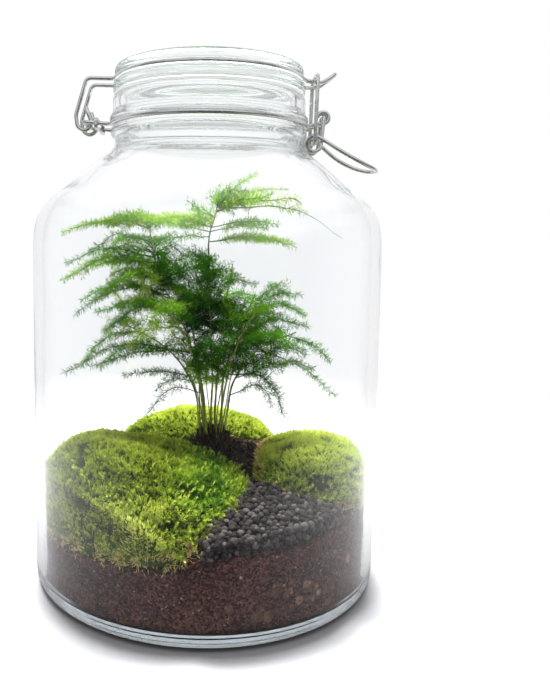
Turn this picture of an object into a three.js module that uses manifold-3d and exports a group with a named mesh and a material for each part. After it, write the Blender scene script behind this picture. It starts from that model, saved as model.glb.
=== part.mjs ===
// Planted clip-top glass jar: a round five-litre preserving jar with a wire
// clip lid, holding soil, moss mounds, a dark gravel patch and an asparagus
// fern. Millimetres, +Z up. Origin: centre of the jar's base, on the surface
// it stands on. +X runs from the lid's hinge to its latch, -Y is the front.
import * as THREE from 'three';
import { mergeVertices } from 'three/addons/utils/BufferGeometryUtils.js';
import Module from 'manifold-3d';

const wasm = await Module();
wasm.setup();

// ---------------------------------------------------------------- dimensions
const SEG = 40;                 // facets round the jar
const GAP = 0.3;                // running gap between neighbouring pieces

const BASE_Z = 6.5;             // inside of the jar's floor
const INNER_R = 88.2;           // inside radius of the wall
const LIP_Z = 254.0;            // top of the jar's mouth

const WIRE_R = 1.05;            // all closure wire, 2.1 mm thick
const WIRE_SIDES = 7;
const LID_RING = { r: 48.5, z: 262.4 };
const NECK_RING = { r: 51.1, z: 239.6 };

const HINGE = { x: -64.0, z: 240.6 };        // axis of the lid's hinge
const HINGE_LOOP_R = 3.7;
const HINGE_LEG_Y = 8.4;                     // lid wire's two legs
const NECK_LEG_Y = 11.0;                     // neck wire's two legs

const PIVOT = { x: 59.4, z: 245.2 };         // axis of the lever
const PIVOT_EYE_R = 2.9;
const PIVOT_EYE_Y = 2.4;
const COIL = { x: 54.5, z: 231.6 };          // axis of the bail in the lever's coils
const COIL_R = 3.9;
const LEVER_LEG_Y = 4.9;
const LEVER_COIL_Y = 7.2;
const LEVER_TIP = { x: 88.8, z: 218.6 };
const BAIL_Y = 9.6;
const BAIL_TOP = { x: 55.0, z: 265.6 };
const TONGUE_VALLEY_Z = 262.0;
const TONGUE_TIP = { x: 64.6, z: 267.2 };

const SOIL_R = 87.4;            // soil and mounds stay this far from the axis
const CROWN = { x: 4.2, y: 5.0 };

// ---------------------------------------------------------------- helpers
const root = new THREE.Group();

const TONES = {
  glass: [0xe4eeee, 0.04, 0.0],
  wire: [0x9a9c9c, 0.3, 0.9],
  seal: [0xe6e8e4, 0.5, 0.0],
  soil: [0x3a261c, 0.95, 0.0],
  gravel: [0x26272a, 0.7, 0.0],
  moss: [0x7ba32a, 0.9, 0.0],
  crown: [0x2b2018, 0.95, 0.0],
  stem: [0x8a9a3c, 0.6, 0.0],
  leaf: [0x3f9a22, 0.7, 0.0],
};

function add(name, geometry, tone) {
  const [color, roughness, metalness] = TONES[tone];
  const material = new THREE.MeshStandardMaterial({ color, roughness, metalness });
  if (tone === 'glass') { material.transparent = true; material.opacity = 0.35; }
  const mesh = new THREE.Mesh(geometry, material);
  mesh.name = name;
  root.add(mesh);
  return mesh;
}

function toSolid(geometry) {
  const g = geometry.clone();
  g.deleteAttribute('normal');
  g.deleteAttribute('uv');
  const m = mergeVertices(g, 1e-4);
  return new wasm.Manifold(new wasm.Mesh({
    numProp: 3,
    vertProperties: new Float32Array(m.attributes.position.array),
    triVerts: new Uint32Array(m.index.array),
  }));
}

function fromSolid(solid) {
  const m = solid.getMesh();
  const g = new THREE.BufferGeometry();
  const p = new Float32Array(m.numVert * 3);
  for (let i = 0; i < m.numVert; i++) {
    for (let k = 0; k < 3; k++) p[3 * i + k] = m.vertProperties[i * m.numProp + k];
  }
  g.setAttribute('position', new THREE.BufferAttribute(p, 3));
  g.setIndex(new THREE.BufferAttribute(new Uint32Array(m.triVerts), 1));
  g.computeVertexNormals();
  return g;
}

// A solid of revolution about Z from (radius, height) pairs.
function turned(profile, segments = SEG) {
  const g = new THREE.LatheGeometry(profile.map(([r, z]) => new THREE.Vector2(r, z)), segments);
  g.rotateX(Math.PI / 2);
  return g;
}

// A path through given points, one section at each point.
class Route extends THREE.Curve {
  constructor(points) { super(); this.points = points; }
  at(u) {
    const n = this.points.length - 1;
    const t = Math.min(Math.max(u, 0), 1) * n;
    const i = Math.min(Math.floor(t), n - 1);
    return this.points[i].clone().lerp(this.points[i + 1], t - i);
  }
  getPoint(u) { return this.at(u); }
  getPointAt(u) { return this.at(u); }
  getSpacedPoints(d) { return Array.from({ length: d + 1 }, (_, i) => this.at(i / d)); }
  getTangentAt(u) {
    const n = this.points.length - 1;
    const i = Math.round(Math.min(Math.max(u, 0), 1) * n);
    const a = this.points[Math.max(i - 1, 0)];
    const b = this.points[Math.min(i + 1, n)];
    return b.clone().sub(a).normalize();
  }
  getTangent(u) { return this.getTangentAt(u); }
}

function tube(points, radius = WIRE_R, sides = WIRE_SIDES) {
  const path = [points[0]];
  for (const p of points.slice(1)) if (p.distanceTo(path[path.length - 1]) > 0.25) path.push(p);
  const section = new THREE.Shape();
  for (let i = 0; i < sides; i++) {
    const a = (i / sides) * 2 * Math.PI;
    if (i) section.lineTo(radius * Math.cos(a), radius * Math.sin(a));
    else section.moveTo(radius, 0);
  }
  section.closePath();
  return new THREE.ExtrudeGeometry(section, {
    steps: path.length - 1, extrudePath: new Route(path), curveSegments: 1, bevelEnabled: false,
  });
}

const V = (x, y, z) => new THREE.Vector3(x, y, z);

// Straight runs with rounded corners: points are [x, y, z, cornerRadius].
function bent(list, turnStep = 30) {
  const out = [V(...list[0].slice(0, 3))];
  for (let i = 1; i < list.length - 1; i++) {
    const a = V(...list[i - 1].slice(0, 3));
    const b = V(...list[i].slice(0, 3));
    const c = V(...list[i + 1].slice(0, 3));
    const r = list[i][3] || 0;
    const u = a.clone().sub(b).normalize();
    const v = c.clone().sub(b).normalize();
    const angle = Math.acos(Math.min(1, Math.max(-1, u.dot(v))));
    const turn = Math.PI - angle;
    if (!r || turn < 0.05) { out.push(b); continue; }
    const cut = Math.min(r / Math.tan(angle / 2), 0.48 * a.distanceTo(b), 0.48 * b.distanceTo(c));
    const rr = cut * Math.tan(angle / 2);
    const bis = u.clone().add(v).normalize();
    const centre = b.clone().addScaledVector(bis, rr / Math.sin(angle / 2));
    const p0 = b.clone().addScaledVector(u, cut).sub(centre);
    const p1 = b.clone().addScaledVector(v, cut).sub(centre);
    const axis = p0.clone().cross(p1).normalize();
    const n = Math.max(2, Math.ceil((turn * 180) / Math.PI / turnStep));
    for (let k = 0; k <= n; k++) {
      out.push(p0.clone().applyAxisAngle(axis, (turn * k) / n).add(centre));
    }
  }
  out.push(V(...list[list.length - 1].slice(0, 3)));
  return out;
}

// Points round a circle in the XZ plane, y running from y0 to y1. Degrees,
// 0 towards +X, 90 towards +Z.
function loopXZ(c, radius, from, to, y0, y1, n) {
  return Array.from({ length: n + 1 }, (_, i) => {
    const a = THREE.MathUtils.degToRad(from + ((to - from) * i) / n);
    return V(c.x + radius * Math.cos(a), y0 + ((y1 - y0) * i) / n, c.z + radius * Math.sin(a));
  });
}

// Points round the jar at a ring's height. Degrees from +X.
function ring(c, from, to, n) {
  return Array.from({ length: n + 1 }, (_, i) => {
    const a = THREE.MathUtils.degToRad(from + ((to - from) * i) / n);
    return V(c.r * Math.cos(a), c.r * Math.sin(a), c.z);
  });
}

const mirrorY = (points) => points.map((p) => V(p.x, -p.y, p.z)).reverse();

// ---------------------------------------------------------------- glass jar
const JAR_OUTER = [
  [0, 3.2], [40, 3.0], [64, 1.6], [69, 0], [85, 0], [90.4, 1.7], [92.6, 5.4],
  [92.9, 14], [92.8, 40], [92.0, 100], [91.4, 150], [91.0, 178], [89.8, 189.5],
  [86.8, 196.8], [82.0, 201.8], [76.2, 206.2], [63.5, 217.2], [54.6, 224.2],
  [50.0, 227.6], [48.8, 230.0], [48.9, 232.4], [51.0, 235.2], [51.0, 237.8],
  [49.7, 238.3], [49.7, 240.9], [51.4, 241.4], [51.5, 243.6], [50.0, 245.4],
  [49.8, 252.8], [48.6, LIP_Z],
];
const JAR_INNER = [
  [44.6, LIP_Z], [43.8, 253.0], [43.6, 232.0], [45.6, 226.4], [50.8, 221.4],
  [59.8, 213.8], [73.2, 202.0], [80.4, 196.4], [84.6, 190.0], [86.2, 182.0],
  [86.8, 160], [87.4, 100], [88.0, 50], [INNER_R, 20], [INNER_R - 0.2, 12],
  [86.3, 8.4], [82.0, BASE_Z], [0, BASE_Z],
];
add('jar_body', turned([...JAR_OUTER, ...JAR_INNER]), 'glass');

// ---------------------------------------------------------------- lid
add('lid', turned([
  [0, 259.6], [36.0, 259.4], [38.4, 255.8], [39.4, 253.2], [41.2, 253.0],
  [42.0, 255.9], [49.0, 255.9], [49.6, 256.8], [49.6, 260.2], [47.1, 260.9],
  [47.1, 263.9], [48.5, 264.6], [48.8, 266.6], [48.1, 268.4], [46.8, 268.8],
  [42.6, 268.8], [41.2, 267.2], [38.8, 265.6], [0, 265.2],
]), 'glass');

add('gasket', turned([
  [42.8, 254.3], [49.3, 254.3], [49.3, 255.6], [42.8, 255.6], [42.8, 254.3],
]), 'seal');

// Lid wire, one length: hinge hook, leg, half the ring, tongue, half the
// ring, leg, hinge hook.
{
  const a0 = THREE.MathUtils.radToDeg(Math.asin(HINGE_LEG_Y / LID_RING.r));
  const a1 = THREE.MathUtils.radToDeg(Math.asin(8.8 / LID_RING.r));
  const hx = -Math.sqrt(LID_RING.r ** 2 - HINGE_LEG_Y ** 2);
  const tx = Math.sqrt(LID_RING.r ** 2 - 8.8 ** 2);
  const hook = [
    V(-63.0, -HINGE_LEG_Y, 248.6), V(-61.6, -HINGE_LEG_Y, 244.6),
    ...loopXZ(HINGE, HINGE_LOOP_R, 20, -180, -HINGE_LEG_Y, -HINGE_LEG_Y, 9),
  ];
  const leg = bent([
    [HINGE.x - HINGE_LOOP_R, -HINGE_LEG_Y, HINGE.z],
    [-68.2, -HINGE_LEG_Y, 244.0, 6],
    [-62.4, -HINGE_LEG_Y, 262.6, 3.2],
    [hx - 0.2, -HINGE_LEG_Y, LID_RING.z, 2.4],
    [hx + 2.0, -HINGE_LEG_Y - 9.0, LID_RING.z],
  ]);
  const front = ring(LID_RING, 180 + a0 + 8, 360 - a1 - 8, 20);
  const tongue = bent([
    [tx + 1.2, -8.8 - 7.0, LID_RING.z],
    [tx + 0.1, -8.8, LID_RING.z, 2.4],
    [52.2, -7.4, 262.2, 4],
    [57.6, -5.4, TONGUE_VALLEY_Z, 6],
    [61.0, -3.6, 264.2, 4],
    [TONGUE_TIP.x + 0.3, -2.2, TONGUE_TIP.z, 2.0],
    [TONGUE_TIP.x + 0.5, 0, TONGUE_TIP.z + 0.1],
  ]);
  const drop = (list) => list.slice(0, -1);
  const half = [...hook, ...drop(leg), ...front, ...tongue.slice(1)];
  add('lid_wire', tube([...half, ...mirrorY(drop(half))]), 'wire');
}

// ---------------------------------------------------------------- neck wire
// One length: eye, half the ring, hinge bar, half the ring, eye.
{
  const nx = -Math.sqrt(NECK_RING.r ** 2 - NECK_LEG_Y ** 2);
  const ex = Math.sqrt(NECK_RING.r ** 2 - 9.3 ** 2);
  const al = THREE.MathUtils.radToDeg(Math.asin(NECK_LEG_Y / NECK_RING.r));
  const ar = THREE.MathUtils.radToDeg(Math.asin(9.3 / NECK_RING.r));
  const eye = loopXZ(PIVOT, PIVOT_EYE_R, 180, -90, -PIVOT_EYE_Y, -PIVOT_EYE_Y, 9);
  const toRing = bent([
    [PIVOT.x, -PIVOT_EYE_Y, PIVOT.z - PIVOT_EYE_R],
    [56.2, -PIVOT_EYE_Y, 241.8, 3],
    [ex + 0.2, -9.3, NECK_RING.z, 2.4],
    [ex - 1.0, -9.3 - 6.0, NECK_RING.z],
  ]);
  const front = ring(NECK_RING, 360 - ar - 7, 180 + al + 7, 20);
  const bar = bent([
    [nx + 1.6, -NECK_LEG_Y - 6.0, NECK_RING.z],
    [nx - 0.1, -NECK_LEG_Y, NECK_RING.z, 2.4],
    [HINGE.x, -NECK_LEG_Y, HINGE.z, 2.2],
    [HINGE.x, 0, HINGE.z],
  ]);
  const half = [...eye.slice(0, -1), ...toRing.slice(0, -1), ...front, ...bar.slice(1)];
  add('neck_wire', tube([...half, ...mirrorY(half.slice(0, -1))]), 'wire');
}

// Small clip that draws the neck wire's two legs together.
{
  const w = NECK_LEG_Y + WIRE_R + GAP;
  const x = -57.3;
  const z = 239.6 + (0.6 * (x + 49.9)) / (HINGE.x + 49.9) + 0.0;
  const h = WIRE_R + GAP + 0.15;
  const t = 1.2;
  const outline = (a, b, r, path) => {
    path.moveTo(-a + r, -b);
    path.lineTo(a - r, -b);
    path.absarc(a - r, -b + r, r, -Math.PI / 2, 0, false);
    path.absarc(a - r, b - r, r, 0, Math.PI / 2, false);
    path.absarc(-a + r, b - r, r, Math.PI / 2, Math.PI, false);
    path.absarc(-a + r, -b + r, r, Math.PI, 1.5 * Math.PI, false);
    return path;
  };
  const shape = outline(w + t, h + t, 1.6, new THREE.Shape());
  shape.holes.push(outline(w, h, 0.6, new THREE.Path()));
  const g = new THREE.ExtrudeGeometry(shape, { depth: 1.8, bevelEnabled: false, curveSegments: 3 });
  g.rotateX(Math.PI / 2);
  g.rotateZ(Math.PI / 2);
  g.translate(x - 0.9, 0, z);
  add('neck_wire_clip', g, 'wire');
}

// ---------------------------------------------------------------- latch
// Lever: a pin through each neck eye, a leg, a coil that holds the bail, and
// a tail that ends in a finger loop.
{
  const leave = 58;
  const side = (s, rise) => {
    const top = bent([
      [PIVOT.x, s * 0.9, PIVOT.z],
      [PIVOT.x, s * LEVER_LEG_Y, PIVOT.z, 1.5],
      [COIL.x + COIL_R, s * LEVER_LEG_Y, COIL.z],
    ]);
    const coil = loopXZ(COIL, COIL_R, 0, -360 + leave, s * LEVER_LEG_Y, s * LEVER_COIL_Y, 15);
    const a = THREE.MathUtils.degToRad(leave);
    const from = V(COIL.x + COIL_R * Math.cos(a), s * LEVER_COIL_Y, COIL.z + COIL_R * Math.sin(a));
    const tail = new THREE.CatmullRomCurve3([
      from,
      V(60.2, s * 7.3, 232.6 + rise * 0.3),
      V(69.0, s * 8.0, 226.6 + rise),
      V(79.0, s * 7.8, 221.6 + rise * 0.8),
      V(86.6, s * 4.6, 219.0 + rise * 0.3),
      V(LEVER_TIP.x, 0, LEVER_TIP.z),
    ], false, 'centripetal').getSpacedPoints(14);
    return [...top.slice(0, -1), ...coil.slice(0, -1), ...tail];
  };
  const a = side(-1, 1.0);
  const b = side(1, -1.2);
  add('closure_lever', tube([...a, ...b.slice(0, -1).reverse()]), 'wire');
}

// Bail: a tall narrow loop from the lever's coils up over the lid's tongue.
add('closure_bail', tube(bent([
  [COIL.x, -3.3, COIL.z],
  [COIL.x, -BAIL_Y, COIL.z, 1.6],
  [BAIL_TOP.x, -BAIL_Y, BAIL_TOP.z, 3.0],
  [BAIL_TOP.x, BAIL_Y, BAIL_TOP.z, 3.0],
  [COIL.x, BAIL_Y, COIL.z, 1.6],
  [COIL.x, 3.3, COIL.z],
])), 'wire');

// ---------------------------------------------------------------- soil
const clamp01 = (v) => Math.min(Math.max(v, 0), 1);
// Height of the soil's surface: a low dome that falls to the front and left, banked up a little at
// the front.
const soilTop = (x, y) => {
  const q = Math.min(Math.hypot(x, y) / 88, 1);
  const turn = (Math.atan2(y, x) * 180) / Math.PI;
  const bank = clamp01((turn + 101) / 20) * clamp01((-8 - turn) / 30);
  return 66 - 22 * q ** 1.6 + 0.07 * x + 0.07 * y
    + 5 * bank * bank * (3 - 2 * bank) * clamp01((q - 0.5) / 0.5) ** 1.5;
};

function soilBody(lift, radius, floor) {
  const rings = [radius, 72, 56, 40, 24, 10, 0];
  const g = turned([
    [0, floor], [radius - 7.2, floor], [radius - 2, floor + 2.0], [radius, floor + 6.4],
    ...rings.map((r) => [r, 100]),
  ]);
  const p = g.attributes.position;
  for (let i = 0; i < p.count; i++) {
    if (p.getZ(i) > 90) p.setZ(i, soilTop(p.getX(i), p.getY(i)) + lift);
  }
  return g;
}
add('soil', soilBody(0, SOIL_R, BASE_Z + GAP), 'soil');
const overSoil = toSolid(soilBody(GAP, SOIL_R + 3, 4));

// Everything on the soil keeps inside the glass.
const within = toSolid(turned([[0, 8], [SOIL_R, 8], [SOIL_R, 120], [0, 120]]));

// ---------------------------------------------------------------- gravel
const gravelOutline = [
  [-1, -92], [0, -74], [7, -63], [13, -54], [21, -43], [30, -39], [39.5, -44],
  [50, -49], [62, -56], [72, -61], [60, -92],
];
const gravelShape = new THREE.Shape(gravelOutline.map(([x, y]) => new THREE.Vector2(x, y)));
const gravelPrism = new THREE.ExtrudeGeometry(gravelShape, { depth: 100, bevelEnabled: false });
const gravel = toSolid(gravelPrism)
  .intersect(toSolid(soilBody(6.0, SOIL_R, 4)))
  .subtract(overSoil);
add('gravel_patch', fromSolid(gravel), 'gravel');

const gravelKeepShape = new THREE.Shape(gravelOutline.map(([x, y]) => {
  const cx = 32; const cy = -66;
  const d = Math.hypot(x - cx, y - cy);
  return new THREE.Vector2(x + ((x - cx) / d) * 0.6, y + ((y - cy) / d) * 0.6);
}));
const gravelKeep = toSolid(new THREE.ExtrudeGeometry(gravelKeepShape, { depth: 140, bevelEnabled: false }));

// ---------------------------------------------------------------- moss
// A cushion of moss: a rounded mound, longer to one side than to the other. e says how boxy it is,
// slump lowers its back along X.
function mound([cx, cy, cz], [right, left, ay, az], turn, e, grow = 0, slump = () => 0) {
  const g = new THREE.SphereGeometry(1, 20, 12);
  g.rotateX(Math.PI / 2);
  const p = g.attributes.position;
  for (let i = 0; i < p.count; i++) {
    const v = V(p.getX(i), p.getY(i), p.getZ(i));
    const k = (Math.abs(v.x) ** e + Math.abs(v.y) ** e + Math.abs(v.z) ** e) ** (-1 / e);
    p.setXYZ(i, v.x * k * ((v.x > 0 ? right : left) + grow), v.y * k * (ay + grow), v.z * k * (az + grow));
  }
  g.rotateZ(turn);
  g.translate(cx, cy, cz);
  for (let i = 0; i < p.count; i++) p.setZ(i, p.getZ(i) - slump(p.getX(i), p.getY(i)));
  return toSolid(g);
}
// The front mound runs down to the right, to the left and towards the glass in front.
const frontSlump = (x, y) => 0.178 * Math.max(x + 54.5, 0) + 0.2 * Math.max(-64 - x, 0)
  + 15 * clamp01((Math.hypot(x, y) - 58) / 29) ** 1.5 * clamp01((-y - 25) / 40);
const frontMound = (grow) => mound([-46, -38.9, 46], [100, 45, 62, 38.3], 0.25, 2.1, grow, frontSlump);
const rightMound = (grow) => mound([58, -10, 50], [34, 34, 41, 25.5], -0.15, 2.5, grow);
const crownBody = (grow) => mound([CROWN.x, CROWN.y, 64], [13, 13, 12, 8.5], 0, 2.6, grow);
const clearFront = frontMound(0.6);
const clearRight = rightMound(0.6);
const mossFront = frontMound(0).subtract(overSoil).intersect(within).subtract(gravelKeep)
  .subtract(crownBody(0.6));
const mossRight = rightMound(0).subtract(overSoil).intersect(within).subtract(gravelKeep)
  .subtract(clearFront);
const mossBack = mound([-6, 48, 56], [50, 46, 32, 22], 0.05, 2.0).subtract(overSoil).intersect(within)
  .subtract(clearFront).subtract(clearRight).subtract(crownBody(0.6));
add('moss_front', fromSolid(mossFront), 'moss');
add('moss_right', fromSolid(mossRight), 'moss');
add('moss_back', fromSolid(mossBack), 'moss');

// Rootstock of the fern with its old leaf bases and bark.
add('root_crown', fromSolid(crownBody(0).subtract(overSoil)), 'crown');

// ---------------------------------------------------------------- fern
// Each stem: where it leaves the rootstock, then points on its way up.
const STEMS = {
  stem_centre: [[3.2, 5], [3.6, 4, 112], [1.4, 1, 163], [0.9, 0, 184], [4.7, 0, 200]],
  stem_tall_left: [[0.5, 4], [-5.5, 3, 112], [-16, 0, 143], [-26, -3, 163], [-30.6, -4, 188]],
  stem_right: [[8.5, 6], [11.5, 8, 108], [19, 11, 134], [27, 13, 152]],
  stem_back: [[5.5, 9], [7, 16, 108], [11, 28, 146], [15, 38, 168]],
  stem_back_left: [[1.5, 9], [-3.5, 16, 106], [-12, 30, 138], [-24, 40, 160]],
  stem_front_right: [[7.5, 1.5], [11.5, -5, 106], [19, -20, 134], [27, -34, 152]],
  stem_front_left: [[1.5, 0.5], [-3.5, -7, 106], [-11, -22, 132], [-19, -36, 147]],
  stem_low_right: [[10.8, 3], [16, 2, 104], [30, -1, 124], [48, -4, 133]],
  stem_low_left: [[-2.8, 6.5], [-8, 8, 102], [-24, 10, 122], [-44, 11, 134]],
};
const STEM_R = 0.8;
const crownTop = (x, y) => {
  const q = Math.abs((x - CROWN.x) / 13) ** 2.6 + Math.abs((y - CROWN.y) / 12) ** 2.6;
  return 64 + 8.5 * Math.max(1 - q, 0) ** (1 / 2.6);
};
const stemPath = ([foot, ...rest]) => new THREE.CatmullRomCurve3([
  V(foot[0], foot[1], crownTop(foot[0], foot[1]) + GAP + 0.2), ...rest.map((q) => V(...q)),
], false, 'centripetal').getSpacedPoints(6);
let keepStems = null;
for (const [name, pts] of Object.entries(STEMS)) {
  add(name, tube(stemPath(pts), STEM_R, 6), 'stem');
  const fat = toSolid(tube(stemPath(pts), STEM_R + GAP + 0.2, 5));
  keepStems = keepStems ? keepStems.add(fat) : fat;
}

// Each spray of fine needle leaves: a thin lens, its centre, its half length,
// half width and half thickness, its heading about Z and its droop in degrees.
const SPRAYS = {
  spray_top: [24, 2, 207.5, 25, 19, 2.0, 8, -4],
  spray_top_right: [52, -2, 193.5, 24, 12, 1.8, -4, 17],
  spray_upper_left: [-42, -6, 191, 37, 20, 2.0, 184, 0],
  spray_upper_left_back: [-30, 26, 182.5, 30, 20, 1.8, 160, 2],
  spray_upper_right: [36, 4, 182.5, 23, 17, 1.8, -6, 0],
  spray_mid_left: [-46, -2, 172.5, 33, 22, 1.8, 182, 3],
  spray_mid_centre: [2, 0, 174, 30, 26, 1.8, 0, 0],
  spray_mid_left_low: [-42, -10, 159, 37, 20, 1.8, 190, 2],
  spray_mid_right: [28, 4, 163, 28, 24, 1.8, 8, 2],
  spray_mid_back: [2, 34, 170, 26, 12, 1.8, 90, 0],
  spray_heart: [-2, 4, 152, 34, 30, 2.0, 0, 0],
  spray_left: [-40, 6, 144, 33, 24, 1.8, 178, 3],
  spray_right: [36, 0, 144, 24, 24, 1.8, 0, 3],
  spray_heart_low: [-4, -2, 133, 40, 34, 2.0, 0, 0],
  spray_low_right: [44, -6, 118, 24, 17, 1.8, -8, 20],
  spray_low_left: [-52, 2, 117, 30, 18, 1.8, 184, 16],
  spray_skirt: [4, 2, 116, 34, 32, 2.0, 0, 0],
  spray_drip_left: [-24, -2, 100, 17, 13, 1.6, 190, 12],
  spray_drip_right: [32, -6, 97, 17, 12, 1.6, -10, 14],
};
// Sprays keep clear of the stems and of each other.
const largest = (solid) => solid.decompose().reduce((m, q) => (q.volume() > m.volume() ? q : m));
let keepClear = keepStems;
for (const [name, [x, y, z, a, b, c, heading, droop]] of Object.entries(SPRAYS)) {
  const lens = (grow) => {
    const g = new THREE.SphereGeometry(1, 12, 4);
    g.rotateX(Math.PI / 2);
    g.scale(a + grow, b + grow, c + grow);
    g.rotateY(THREE.MathUtils.degToRad(droop));
    g.rotateZ(THREE.MathUtils.degToRad(heading));
    g.translate(x, y, z);
    return toSolid(g);
  };
  add(name, fromSolid(largest(lens(0).subtract(keepClear))), 'leaf');
  keepClear = keepClear.add(lens(0.4));
}

export default root;
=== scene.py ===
import math

import bpy
import numpy as np
from mathutils import Matrix, Vector


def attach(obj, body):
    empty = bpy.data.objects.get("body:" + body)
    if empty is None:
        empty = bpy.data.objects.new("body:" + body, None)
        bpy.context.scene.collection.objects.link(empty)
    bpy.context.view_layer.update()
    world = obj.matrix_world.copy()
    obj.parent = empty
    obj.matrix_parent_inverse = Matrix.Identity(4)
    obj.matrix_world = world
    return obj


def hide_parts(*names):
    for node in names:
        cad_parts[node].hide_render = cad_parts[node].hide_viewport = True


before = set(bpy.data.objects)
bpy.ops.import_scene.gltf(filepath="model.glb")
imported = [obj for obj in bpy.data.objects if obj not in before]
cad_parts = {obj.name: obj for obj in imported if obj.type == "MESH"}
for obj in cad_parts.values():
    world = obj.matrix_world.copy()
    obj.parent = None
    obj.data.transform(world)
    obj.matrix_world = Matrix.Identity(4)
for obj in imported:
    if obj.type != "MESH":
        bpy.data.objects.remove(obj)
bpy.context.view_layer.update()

GOLD = math.pi * (3.0 - math.sqrt(5.0))
MM = 0.001


# ------------------------------------------------------------------ camera
def make_camera():
    pitch, roll = math.radians(8.12), math.radians(0.66)
    ahead = Vector((0, math.cos(pitch), -math.sin(pitch)))
    up = Vector((0, math.sin(pitch), math.cos(pitch)))
    right = Vector((1, 0, 0))
    x_axis = right * math.cos(roll) + up * math.sin(roll)
    y_axis = up * math.cos(roll) - right * math.sin(roll)
    data = bpy.data.cameras.new("camera")
    cam = bpy.data.objects.new("camera", data)
    bpy.context.scene.collection.objects.link(cam)
    m = Matrix.Identity(4)
    for i, axis in enumerate((x_axis, y_axis, -ahead)):
        m.col[i][:3] = axis
    m.col[3][:3] = (0.0, -0.37957, 0.18190)
    cam.matrix_world = m
    data.sensor_width = 36.0
    data.lens = 37.135
    data.shift_x = 0.10103
    data.clip_start = 0.01
    data.clip_end = 50.0
    bpy.context.scene.camera = cam


make_camera()


# ------------------------------------------------------------------ mesh tools
def unit(v):
    return v / np.maximum(np.linalg.norm(v, axis=-1, keepdims=True), 1e-9)


def noise(points, seed=0):
    """Smooth value noise, -1 to 1, for points in lattice units."""
    p = np.asarray(points, dtype=np.float64)
    cell = np.floor(p).astype(np.int64)
    f = p - cell
    f = f * f * (3.0 - 2.0 * f)

    def corner(dx, dy, dz):
        n = ((cell[:, 0] + dx) * 374761393 + (cell[:, 1] + dy) * 668265263
             + (cell[:, 2] + dz) * 1442695041 + seed * 974634777) & 0xFFFFFFFF
        n = ((n ^ (n >> 13)) * 1274126177) & 0xFFFFFFFF
        n = (n ^ (n >> 16)) & 0xFFFFFFFF
        return n / 2147483647.5 - 1.0

    x, y, z = f[:, 0], f[:, 1], f[:, 2]
    out = 0.0
    for dx in (0, 1):
        for dy in (0, 1):
            for dz in (0, 1):
                w = ((x if dx else 1 - x) * (y if dy else 1 - y) * (z if dz else 1 - z))
                out = out + w * corner(dx, dy, dz)
    return out


def fractal(points, seed=0, octaves=3):
    total, amp = 0.0, 1.0
    p = np.asarray(points, dtype=np.float64)
    for k in range(octaves):
        total = total + amp * noise(p * 2.0 ** k + 17.3 * k, seed + k)
        amp *= 0.5
    return total / 1.75


def piece(name, verts, faces, material, body="jar", replaces=(), slot=None, smooth=True, attrs=None):
    """A mesh object from points in millimetres and arrays of triangles or quads."""
    verts = np.asarray(verts, dtype=np.float64) * MM
    faces = [np.asarray(f, dtype=np.int32) for f in faces if len(f)]
    loops = np.concatenate([f.ravel() for f in faces]).astype(np.int32)
    sizes = np.concatenate([np.full(len(f), f.shape[1], dtype=np.int32) for f in faces])
    starts = np.concatenate([[0], np.cumsum(sizes)[:-1]]).astype(np.int32)
    me = bpy.data.meshes.new(name)
    me.vertices.add(len(verts))
    me.vertices.foreach_set("co", verts.astype(np.float32).ravel())
    me.loops.add(len(loops))
    me.loops.foreach_set("vertex_index", loops)
    me.polygons.add(len(sizes))
    me.polygons.foreach_set("loop_start", starts)
    me.polygons.foreach_set("use_smooth", np.full(len(sizes), smooth, dtype=bool))
    me.update(calc_edges=True)
    for key, values in (attrs or {}).items():
        layer = me.attributes.new(key, "FLOAT", "POINT")
        layer.data.foreach_set("value", np.asarray(values, dtype=np.float32))
    me.materials.append(material)
    ob = bpy.data.objects.new(name, me)
    bpy.context.scene.collection.objects.link(ob)
    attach(ob, body)
    if replaces:
        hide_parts(*replaces)
    return ob


class Bag:
    """Collects the parts of one mesh."""

    def __init__(self):
        self.v, self.tri, self.quad, self.attrs, self.n = [], [], [], {}, 0

    def add(self, verts, tri=None, quad=None, **attrs):
        verts = np.asarray(verts, dtype=np.float64).reshape(-1, 3)
        if tri is not None and len(tri):
            self.tri.append(np.asarray(tri) + self.n)
        if quad is not None and len(quad):
            self.quad.append(np.asarray(quad) + self.n)
        for key, val in attrs.items():
            self.attrs.setdefault(key, []).append(np.broadcast_to(np.asarray(val, dtype=np.float64), (len(verts),)))
        self.v.append(verts)
        self.n += len(verts)

    def make(self, name, material, **kw):
        faces = []
        if self.tri:
            faces.append(np.concatenate(self.tri))
        if self.quad:
            faces.append(np.concatenate(self.quad))
        return piece(name, np.concatenate(self.v), faces, material,
                     attrs={k: np.concatenate(v) for k, v in self.attrs.items()}, **kw)


def pchip(x, y, q):
    """Monotone cubic through the points: smooth, with no overshoot."""
    x, y, q = (np.asarray(a, dtype=np.float64) for a in (x, y, q))
    h = np.diff(x)
    s = np.diff(y) / h
    m = np.zeros_like(y)
    w1, w2 = 2 * h[1:] + h[:-1], h[1:] + 2 * h[:-1]
    ok = s[:-1] * s[1:] > 0
    a = np.where(ok, s[:-1], 1.0)
    b = np.where(ok, s[1:], 1.0)
    m[1:-1] = np.where(ok, (w1 + w2) / (w1 / a + w2 / b), 0.0)
    m[0], m[-1] = s[0], s[-1]
    k = np.clip(np.searchsorted(x, q, side="right") - 1, 0, len(h) - 1)
    t = (q - x[k]) / h[k]
    t2, t3 = t * t, t * t * t
    return ((2 * t3 - 3 * t2 + 1) * y[k] + (t3 - 2 * t2 + t) * h[k] * m[k]
            + (-2 * t3 + 3 * t2) * y[k + 1] + (t3 - t2) * h[k] * m[k + 1])


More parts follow.
